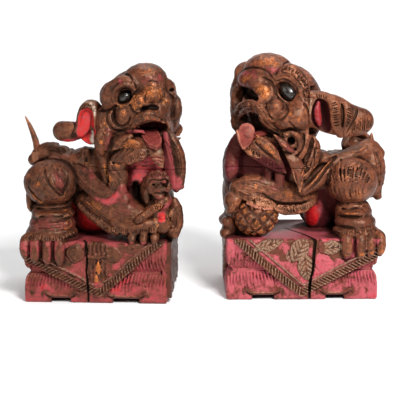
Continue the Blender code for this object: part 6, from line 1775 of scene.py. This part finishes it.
def back_curls(F, cols, z):
    """Spiral locks along the back of the trunk."""
    for u, y in cols:
        F.add(Tube([(u, y - 6, z + 4), (u - 9, y + 5, z - 10), (u - 6, y + 6.5, z - 22), (u + 4, y + 6, z - 22), (u + 5, y + 6, z - 14), (u, y + 6, z - 13)],
                   [7, 7.5, 6.5, 5, 3.5, 2.5], [5, 5.5, 5, 4, 3, 2.5], (0, 1, 0.25), strands(4, 0.9, 1.6)), 1.5)


def nape(F, mid, rows):
    """Curled locks over the back of the head and neck."""
    for i, (u, z) in enumerate(rows):
        y = mid[1] + 6 + 2 * math.sin(i * 1.7) - 0.0035 * (u - mid[0]) ** 2 * 2
        s = -1 if u < mid[0] else 1
        F.add(Tube([(u, y - 6, z + 8), (u + s * 7, y + 5, z + 1), (u + s * 4, y + 8.5, z - 10), (u - s * 5, y + 8, z - 11),
                    (u - s * 6, y + 8.5, z - 3), (u - s * 1, y + 8.5, z - 2)],
                   [7, 8, 7, 5.5, 4, 2.5], [5, 6, 5.5, 4.5, 3.5, 2.5], (0, 1, 0.15), strands(4, 0.9, 1.6)), 1.5)


# ==== BUILD
# ------------------------------------------------------------------ finishes
class Graph:
    """Short hand for a node material."""

    def __init__(self, name):
        self.mat = bpy.data.materials.new(name)
        self.mat.use_nodes = True
        self.t = self.mat.node_tree
        self.t.nodes.clear()
        self.out = self.t.nodes.new("ShaderNodeOutputMaterial")
        self.co = self.t.nodes.new("ShaderNodeTexCoord").outputs["Object"]

    def put(self, sock, v):
        if isinstance(v, bpy.types.NodeSocket):
            self.t.links.new(v, sock)
        elif isinstance(v, (tuple, list)) and sock.type == "RGBA" and len(v) == 3:
            sock.default_value = (*v, 1.0)
        else:
            sock.default_value = v

    def noise(self, size_mm, detail=3.0, rough=0.55, stretch=None, warp=0.0, offset=(0, 0, 0)):
        m = self.t.nodes.new("ShaderNodeMapping")
        self.put(m.inputs["Vector"], self.co)
        s = stretch or (1, 1, 1)
        m.inputs["Scale"].default_value = tuple(1000.0 / size_mm * k for k in s)
        m.inputs["Location"].default_value = offset
        n = self.t.nodes.new("ShaderNodeTexNoise")
        self.put(n.inputs["Vector"], m.outputs[0])
        n.inputs["Scale"].default_value = 1.0
        n.inputs["Detail"].default_value = detail
        n.inputs["Roughness"].default_value = rough
        n.inputs["Distortion"].default_value = warp
        return n.outputs["Fac"]

    def math(self, op, a, b=0.0, c=0.0, clamp=False):
        n = self.t.nodes.new("ShaderNodeMath")
        n.operation = op
        n.use_clamp = clamp
        for s, v in zip(n.inputs, (a, b, c)):
            self.put(s, v)
        return n.outputs[0]

    def step(self, x, a, b, lo=0.0, hi=1.0):
        n = self.t.nodes.new("ShaderNodeMapRange")
        n.interpolation_type = "SMOOTHSTEP"
        for k, v in (("Value", x), ("From Min", a), ("From Max", b), ("To Min", lo), ("To Max", hi)):
            self.put(n.inputs[k], v)
        return n.outputs["Result"]

    def mix(self, f, a, b, how="MIX"):
        n = self.t.nodes.new("ShaderNodeMix")
        n.data_type = "RGBA"
        n.blend_type = how
        n.clamp_result = False
        self.put(n.inputs[0], f)
        self.put(n.inputs[6], a)
        self.put(n.inputs[7], b)
        return n.outputs[2]

    def ramp(self, f, stops):
        n = self.t.nodes.new("ShaderNodeValToRGB")
        e = n.color_ramp.elements
        while len(e) < len(stops):
            e.new(0.5)
        for i, (p, c) in enumerate(stops):
            e[i].position = p
            e[i].color = (*c, 1)
        self.put(n.inputs[0], f)
        return n.outputs["Color"]

    def attr(self, name):
        n = self.t.nodes.new("ShaderNodeAttribute")
        n.attribute_name = name
        s = self.t.nodes.new("ShaderNodeSeparateColor")
        self.put(s.inputs[0], n.outputs["Color"])
        return s.outputs[0], s.outputs[1], s.outputs[2]

    def bump(self, height, mm, strength=1.0, normal=None):
        n = self.t.nodes.new("ShaderNodeBump")
        n.inputs["Strength"].default_value = strength
        n.inputs["Distance"].default_value = mm * 0.001
        self.put(n.inputs["Height"], height)
        if normal is not None:
            self.put(n.inputs["Normal"], normal)
        return n.outputs[0]

    def surface(self, color, rough, normal=None, metal=None, **fixed):
        b = self.t.nodes.new("ShaderNodeBsdfPrincipled")
        self.put(b.inputs["Base Color"], color)
        self.put(b.inputs["Roughness"], rough)
        if normal is not None:
            self.put(b.inputs["Normal"], normal)
        if metal is not None:
            self.put(b.inputs["Metallic"], metal)
        for k, v in fixed.items():
            self.put(b.inputs[k], v)
        self.put(self.out.inputs["Surface"], b.outputs[0])
        return self.mat


def lacquer(name, seed=0.0, edge_wear_and_sheen=1.0, warm=1.0, white=0.0, rose_tone=(0.0, 0.0), depth=1.0):
    """Umber and red lacquer over gilding on carved wood, rubbed through on the high points, with painted highlight on
    the ridges and painted shade in the hollows.
    """
    g = Graph(name)
    off = (seed, seed * 0.7, -seed)
    red, gold, dark = g.attr("paint")
    conv, conc, pale = g.attr("relief")
    big = g.noise(15, 3, 0.6, offset=off)
    mid = g.noise(4.6, 4, 0.65, offset=off, warp=0.5)
    fine = g.noise(1.5, 3, 0.62, offset=off)
    grain = g.noise(2.0, 3, 0.6, stretch=(1, 1, 0.16), offset=off)
    # lacquer colours
    umber = g.ramp(g.math("ADD", g.math("MULTIPLY", big, 0.5), g.math("MULTIPLY", mid, 0.5)),
                   tuple((at, tuple(depth * v for v in c)) for at, c in
                         ((0.31, (0.016, 0.0058, 0.0038)), (0.43, (0.056, 0.0172, 0.0092)), (0.53, (0.122, 0.035, 0.0165)), (0.66, (0.255, 0.083, 0.038)))))
    r = g.math("ADD", red, g.math("MULTIPLY", g.math("SUBTRACT", mid, 0.5), g.math("MULTIPLY", g.step(red, 0.0, 0.3), 0.95)))
    lift, cool = rose_tone
    rose = g.ramp(r, ((0.10, (0.060, 0.016, 0.011)), (0.36, (0.130, 0.023, 0.018)), (0.53, (0.225 + lift, 0.036 + lift * 0.25, 0.030 + cool)),
                      (0.70, (0.31 + lift, 0.040 + lift * 0.3, 0.036 + cool * 1.3)), (0.84, (0.37, 0.018, 0.020)), (1.0, (0.50, 0.0085, 0.013))))
    col = g.mix(g.step(g.math("ADD", r, g.math("MULTIPLY", g.math("SUBTRACT", big, 0.5), 0.55)), 0.08, 0.30), umber, rose)
    # rubbed edges, tan and dusty pink: partly rubbing, partly painted highlight on the ridges
    lit_worn_edge = g.step(g.math("ADD", conv, g.math("MULTIPLY", g.math("SUBTRACT", mid, 0.5), 0.8)), 0.54, 0.86)
    lit_worn_edge = g.math("MULTIPLY", lit_worn_edge, g.step(fine, 0.38, 0.58, 0.25, 1.0))
    edge_dust_and_sheen = g.mix(g.step(red, 0.1, 0.6), tuple((0.4 + 0.6 * depth) * v for v in (0.36, 0.145, 0.076)), (0.37 + 0.9 * lift, 0.085 + 0.7 * lift, 0.070 + 0.6 * lift))
    col = g.mix(g.math("MULTIPLY", g.math("MULTIPLY", lit_worn_edge, 0.72 * edge_wear_and_sheen), g.step(red, 0.74, 0.90, 1.0, 0.25)), col, edge_dust_and_sheen)
    # gilding shows through on the high points and under the gold dabs, some of which are painted highlights
    rub = g.math("ADD", gold, g.math("MULTIPLY", g.math("SUBTRACT", conv, 0.30), 0.45 * warm))
    rub = g.math("MULTIPLY", rub, g.step(dark, 0.6, 0.2))
    shine = g.step(g.math("ADD", rub, g.math("ADD", g.math("MULTIPLY", g.math("SUBTRACT", mid, 0.5), 1.1), g.math("MULTIPLY", g.math("SUBTRACT", fine, 0.5), 1.2))), 0.42, 0.84)
    shine = g.math("MULTIPLY", shine, g.step(g.math("SUBTRACT", rub, g.math("MULTIPLY", red, 0.35)), 0.02, 0.42))
    gilt = g.mix(g.step(fine, 0.35, 0.65), (0.36, 0.082, 0.018), (0.52, 0.160, 0.040))
    col = g.mix(g.math("MULTIPLY", shine, 0.80), col, gilt)
    # painted shade in the hollows from the cavity measure, with old grime
    shade_and_soot = g.step(g.math("ADD", conc, g.math("MULTIPLY", g.math("SUBTRACT", mid, 0.5), 0.30)), 0.15, 0.62)
    shade_and_soot = g.math("MULTIPLY", shade_and_soot, g.step(red, 0.75, 1.0, 0.95, 0.62))
    col = g.mix(g.math("MULTIPLY", shade_and_soot, 0.92), col, g.mix(g.step(red, 0.2, 0.8), (0.0125, 0.0052, 0.0036), (0.036, 0.0042, 0.0040)))
    # near-black where the dark paint channel is set: painted shade in mouths, nostrils, slots, gaps and grooves, and
    # the dark of cracks
    deep = g.step(g.math("ADD", dark, g.math("MULTIPLY", g.math("SUBTRACT", mid, 0.5), 0.3)), 0.12, 0.80)
    col = g.mix(g.math("MULTIPLY", deep, 0.95), col, g.mix(g.step(red, 0.05, 0.5), (0.0060, 0.0028, 0.0022), (0.036, 0.0042, 0.0055)))
    # gesso
    speck = g.math("ADD", g.math("MULTIPLY", g.math("SUBTRACT", mid, 0.5), 0.7), g.math("MULTIPLY", g.math("SUBTRACT", fine, 0.5), 0.9))
    tan = g.step(g.math("ADD", pale, g.math("MULTIPLY", speck, 0.55)), 0.14, 0.36)
    tan = g.math("MULTIPLY", g.math("MULTIPLY", tan, g.step(deep, 0.7, 0.2)), g.step(pale, 0.03, 0.25, 0.0, 0.70))
    col = g.mix(tan, col, g.mix(g.step(fine, 0.36, 0.62), (0.110, 0.056, 0.034), (0.38, 0.245, 0.165)))
    chalk = g.math("MULTIPLY", g.step(g.math("ADD", pale, g.math("MULTIPLY", speck, 0.6)), 0.55, 0.72), g.step(pale, 0.45, 0.60, 0.0, 0.85))
    flecks = g.math("MULTIPLY", g.step(g.noise(2.6, 2, 0.5, offset=off), 0.70, 0.76), g.math("MULTIPLY", lit_worn_edge, 0.45 + white))
    chalk = g.math("MAXIMUM", chalk, flecks)
    col = g.mix(chalk, col, (0.60, 0.50, 0.43))
    # gloss and surface
    rough = g.math("ADD", 0.26, g.math("MULTIPLY", mid, 0.28))
    rough = g.math("ADD", rough, g.math("MULTIPLY", g.math("MAXIMUM", shade_and_soot, chalk), 0.28))
    rough = g.math("ADD", rough, g.math("MULTIPLY", g.step(red, 0.2, 0.7), 0.12), clamp=True)
    n1 = g.bump(mid, 0.70, 0.60)
    n2 = g.bump(grain, 0.26, 0.55, n1)
    n3 = g.bump(g.math("SUBTRACT", g.math("MULTIPLY", fine, 0.7), g.math("MULTIPLY", shine, 0.3)), 0.34, 0.65, n2)
    level = g.math("MULTIPLY", g.step(g.math("MAXIMUM", shade_and_soot, g.math("MAXIMUM", deep, tan)), 0.0, 1.0, 1.0, 0.35), 0.42)
    spec = {"Specular IOR Level": level, "Specular Tint": (1.0, 0.66, 0.46, 1.0)}
    return g.surface(col, rough, n3, g.math("MULTIPLY", shine, 0.35), **spec)


def bare_wood(name):
    g = Graph(name)
    grain = g.noise(1.1, 4, 0.6, stretch=(1, 1, 0.06))
    big = g.noise(9, 2, 0.5)
    col = g.mix(g.step(grain, 0.35, 0.65), (0.30, 0.165, 0.088), (0.50, 0.315, 0.185))
    col = g.mix(g.step(big, 0.40, 0.75, 0.0, 0.5), col, (0.26, 0.12, 0.06))
    return g.surface(col, g.math("ADD", 0.58, g.math("MULTIPLY", big, 0.2)), g.bump(grain, 0.3, 0.6))


def glazed(name):
    """Dark glass eye with dusty flecks."""
    g = Graph(name)
    conv, conc, _ = g.attr("relief")
    n = g.noise(3.5, 3, 0.6)
    fine = g.noise(0.9, 3, 0.6)
    col = g.mix(g.step(n, 0.42, 0.66), (0.0070, 0.0052, 0.0042), (0.026, 0.017, 0.012))
    col = g.mix(g.math("MULTIPLY", g.step(fine, 0.62, 0.78), 0.18), col, (0.09, 0.060, 0.045))
    return g.surface(col, g.step(n, 0.35, 0.75, 0.20, 0.42), g.bump(n, 0.14, 0.4), **{"Coat Weight": 0.12, "Coat Roughness": 0.18})


def pale_floor(name):
    g = Graph(name)
    n = g.noise(300, 2, 0.5)
    return g.surface(g.mix(n, (0.90, 0.90, 0.90), (0.93, 0.93, 0.93)), g.step(n, 0.3, 0.7, 0.75, 0.85), g.bump(n, 0.05, 0.1))


# ------------------------------------------------------------------ assembly
def put(ob, mat, body, slot, *nodes):
    ob.data.materials.clear()
    ob.data.materials.append(mat)
    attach(ob, body)
    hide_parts(*nodes)
    return ob


MATS = {"left": lacquer("left_lacquer", 3.0, rose_tone=(0.0, 0.010), depth=0.70), "right": lacquer("right_lacquer", 11.0, 1.3, rose_tone=(0.11, 0.048), depth=1.05),
        "tongue": lacquer("tongue_lacquer", 5.0, 1.2), "tail": lacquer("tail_lacquer", 7.0, 1.2, 1.4, 0.3),
        "ball": lacquer("gilt_lacquer", 9.0, 1.0, 1.3, depth=0.75), "eye": glazed("eye_glass"), "wood": bare_wood("dowel_wood")}



EYES = {w: {k: EYES_AT[f"{w}_{k}"] for k in ("outer", "inner")} for w in ("left", "right")}
DOWELS = {"left": ((52, 52), (62, 84)), "right": ((30, 52), (44, 86))}


def build_lion(which):
    place, head = (LEFT, LH) if which == "left" else (RIGHT, RH)
    F, _ = left_field() if which == "left" else right_field()
    body = which + "_statue"
    # seats of the let-in pieces
    for x, y in DOWELS[which]:
        F.cut(Tube([(x, y, SEAM_Z - 17), (x, y, SEAM_Z + 17)], 6.3), 0.1, (0, 0, 0.4))
    root = head.at(0, 12 if which == "left" else 10, -38)
    tip = (80, -8, 203) if which == "left" else (73, 2, 203)
    T, (x, y, z, L) = tongue_field(place, root, tip, head)
    lo = np.array([a[0] for a in T.ax])
    hi = np.array([a[-1] for a in T.ax])
    sl, X, Y, Z = F.grab(lo, hi)
    pts = np.stack([np.broadcast_to(v, F.D[sl].shape) for v in (X, Y, Z)], -1).reshape(-1, 3)
    d = sample(T.D, T.ax, pts).reshape(F.D[sl].shape)
    F.D[sl] = np.maximum(F.D[sl], 0.35 - d)
    if which == "left":
        F.cut(Tube([(-86.5, 66, 169.6), (-86.5, 66, 186)], 5.5), 0.1, (0, 0, 0.7))
        F.cut(Tube([(-86.5, 66, 169.6), (-86.5, 66, 240)], 5.5), 0.1)
        C = cub_body(Field((38, -16, 82), (106, 46, 182), STEP), 0.3)
    else:
        C = Field((22, -8, 78), (90, 50, 138), STEP)
        C.add(Ell(BALL[0], np.array(BALL[1]) + 0.3), 1)
    lo = np.array([a[0] for a in C.ax])
    hi = np.array([a[-1] for a in C.ax])
    sl, X, Y, Z = F.grab(lo, hi)
    pts = np.stack([np.broadcast_to(v, F.D[sl].shape) for v in (X, Y, Z)], -1).reshape(-1, 3)
    d = sample(C.D, C.ax, pts).reshape(F.D[sl].shape)
    F.D[sl] = np.maximum(F.D[sl], -d)
    s = saw(F)
    hd = mesh_from(F, place, which + "_head", D=np.maximum(F.D, s + 0.12), target=120000,
                   crop=((-140, -20, SEAM_Z - 3), (140, 160, 330)))
    bd = mesh_from(F, place, which + "_body", D=np.maximum(F.D, 0.12 - s), target=185000)
    put(hd, MATS[which], body, "umber_lacquer", which + "_head_block")
    put(bd, MATS[which], body, "umber_lacquer", which + "_body_block")
    # tongue
    tg = mesh_from(T, place, which + "_tongue_board", target=6000)
    put(tg, MATS["tongue"], body, "tongue_lacquer", which + "_tongue")
    # eyes
    for s, tag in ((1, "outer"), (-1, "inner")):
        c, r, ax = EYES[which][tag]
        G = Field(c - 16, c + 16, 0.45)
        G.add(Ell(c, r, ax), 1, DARK)
        X, Y, Z = np.meshgrid(*G.ax, indexing="ij")
        q = np.stack([X - c[0], Y - c[1], Z - c[2]], -1)
        rim = np.sqrt(((q @ ax[0]) / r[0]) ** 2 + ((q @ ax[2]) / r[2]) ** 2)
        G.D += (0.22 * ramp(-np.abs(rim - 0.42), -0.09, 0.0)).astype(G.D.dtype)
        put(mesh_from(G, place, f"{which}_{tag}_glass_eye", target=4000), MATS["eye"], body, "eye_glaze", f"{which}_{tag}_eye")
    return hd, bd


build_lion("left")
build_lion("right")

for which, tag, F in (("left", "outer", ear_left_outer()),
                      ("right", "outer", ear_right_outer()),
                      ("left", "inner", ear_inner(LEFT, *LEFT_INNER, 1, ((14, 0, 0), (15, 14, 24)), ([(20, 2, -8), (34, 4, -10), (42, 4, -10)], [11, 11, 9]), ((10, -14, -3), (9, 10, 16)))),
                      ("right", "inner", ear_inner(RIGHT, *RIGHT_INNER, 1, ((14, 0, 0), (16, 15, 25)), ([(20, -2, -6), (34, -4, -12), (42, -4, -14)], [11, 11, 10]), ((10, -14, -3), (9, 10, 16))))):
    ob = mesh_from(F, LEFT if which == "left" else RIGHT, f"{which}_{tag}_ear_carving", target=20000)
    put(ob, MATS[which], f"{which}_{tag}_ear", "umber_lacquer", f"{which}_{tag}_ear")

put(mesh_from(tail_field(), LEFT, "left_tail_spike", target=9000), MATS["tail"], "left_tail", "tail_wood", "left_tail")
put(mesh_from(cub_field(), LEFT, "left_cub_carving", target=34000), MATS["left"], "left_statue", "umber_lacquer", "left_cub")
put(mesh_from(ball_field(), RIGHT, "right_brocade_ball", target=30000), MATS["ball"], "right_statue", "worn_gilt", "right_ball")
for n in ("left_front_dowel", "left_rear_dowel", "right_front_dowel", "right_rear_dowel"):
    ob = bpy.data.objects[n]
    for s in ob.material_slots:
        s.material = MATS["wood"]

# ------------------------------------------------------------------ floor, light and camera
me = bpy.data.meshes.new("floor")
bm = bmesh.new()
prof = [(-3.0, 0.0), (2.2, 0.0), (2.6, 0.05), (2.9, 0.25), (3.05, 0.6), (3.1, 2.6)]
rows = [[bm.verts.new((x, y, z - 0.0002)) for y, z in prof] for x in (-4.5, 4.5)]
for i in range(len(prof) - 1):
    bm.faces.new((rows[0][i], rows[1][i], rows[1][i + 1], rows[0][i + 1]))
bm.to_mesh(me)
bm.free()
me.shade_smooth()
floor = bpy.data.objects.new("floor", me)
bpy.context.scene.collection.objects.link(floor)
me.materials.append(pale_floor("pale_floor"))


def area(name, where, aim, size, power, color=(1, 1, 1)):
    li = bpy.data.lights.new(name, "AREA")
    li.shape, li.size, li.size_y, li.energy, li.color = "RECTANGLE", size[0], size[1], power, color
    ob = bpy.data.objects.new(name, li)
    ob.location = where
    ob.rotation_euler = (Vector(aim) - Vector(where)).to_track_quat("-Z", "Y").to_euler()
    bpy.context.scene.collection.objects.link(ob)


area("key", (0.58, -1.25, 1.20), (0, 0, 0.15), (0.5, 0.4), 43)
area("fill", (-1.2, -1.0, 0.8), (0, 0, 0.15), (0.7, 0.7), 7)
area("top", (0.1, 0.25, 1.5), (0, 0.0, 0.1), (1.2, 0.7), 11)
area("backdrop", (0, 1.3, 1.9), (0, 3.0, 0.7), (3.2, 0.6), 45)
world = bpy.data.worlds.new("studio")
world.use_nodes = True
world.node_tree.nodes["Background"].inputs[0].default_value = (1, 1, 1, 1)
world.node_tree.nodes["Background"].inputs[1].default_value = 0.16
bpy.context.scene.world = world

cam = bpy.data.cameras.new("camera")
cam.sensor_width = 36.0
cam.lens = 84.64
ob = bpy.data.objects.new("camera", cam)
ob.location = (-0.0081, -1.2485, 0.3555)
ob.rotation_euler = (math.radians(90 - 10.6), 0, 0)
bpy.context.scene.collection.objects.link(ob)
bpy.context.scene.camera = ob
bpy.context.scene.view_settings.view_transform = "Standard"
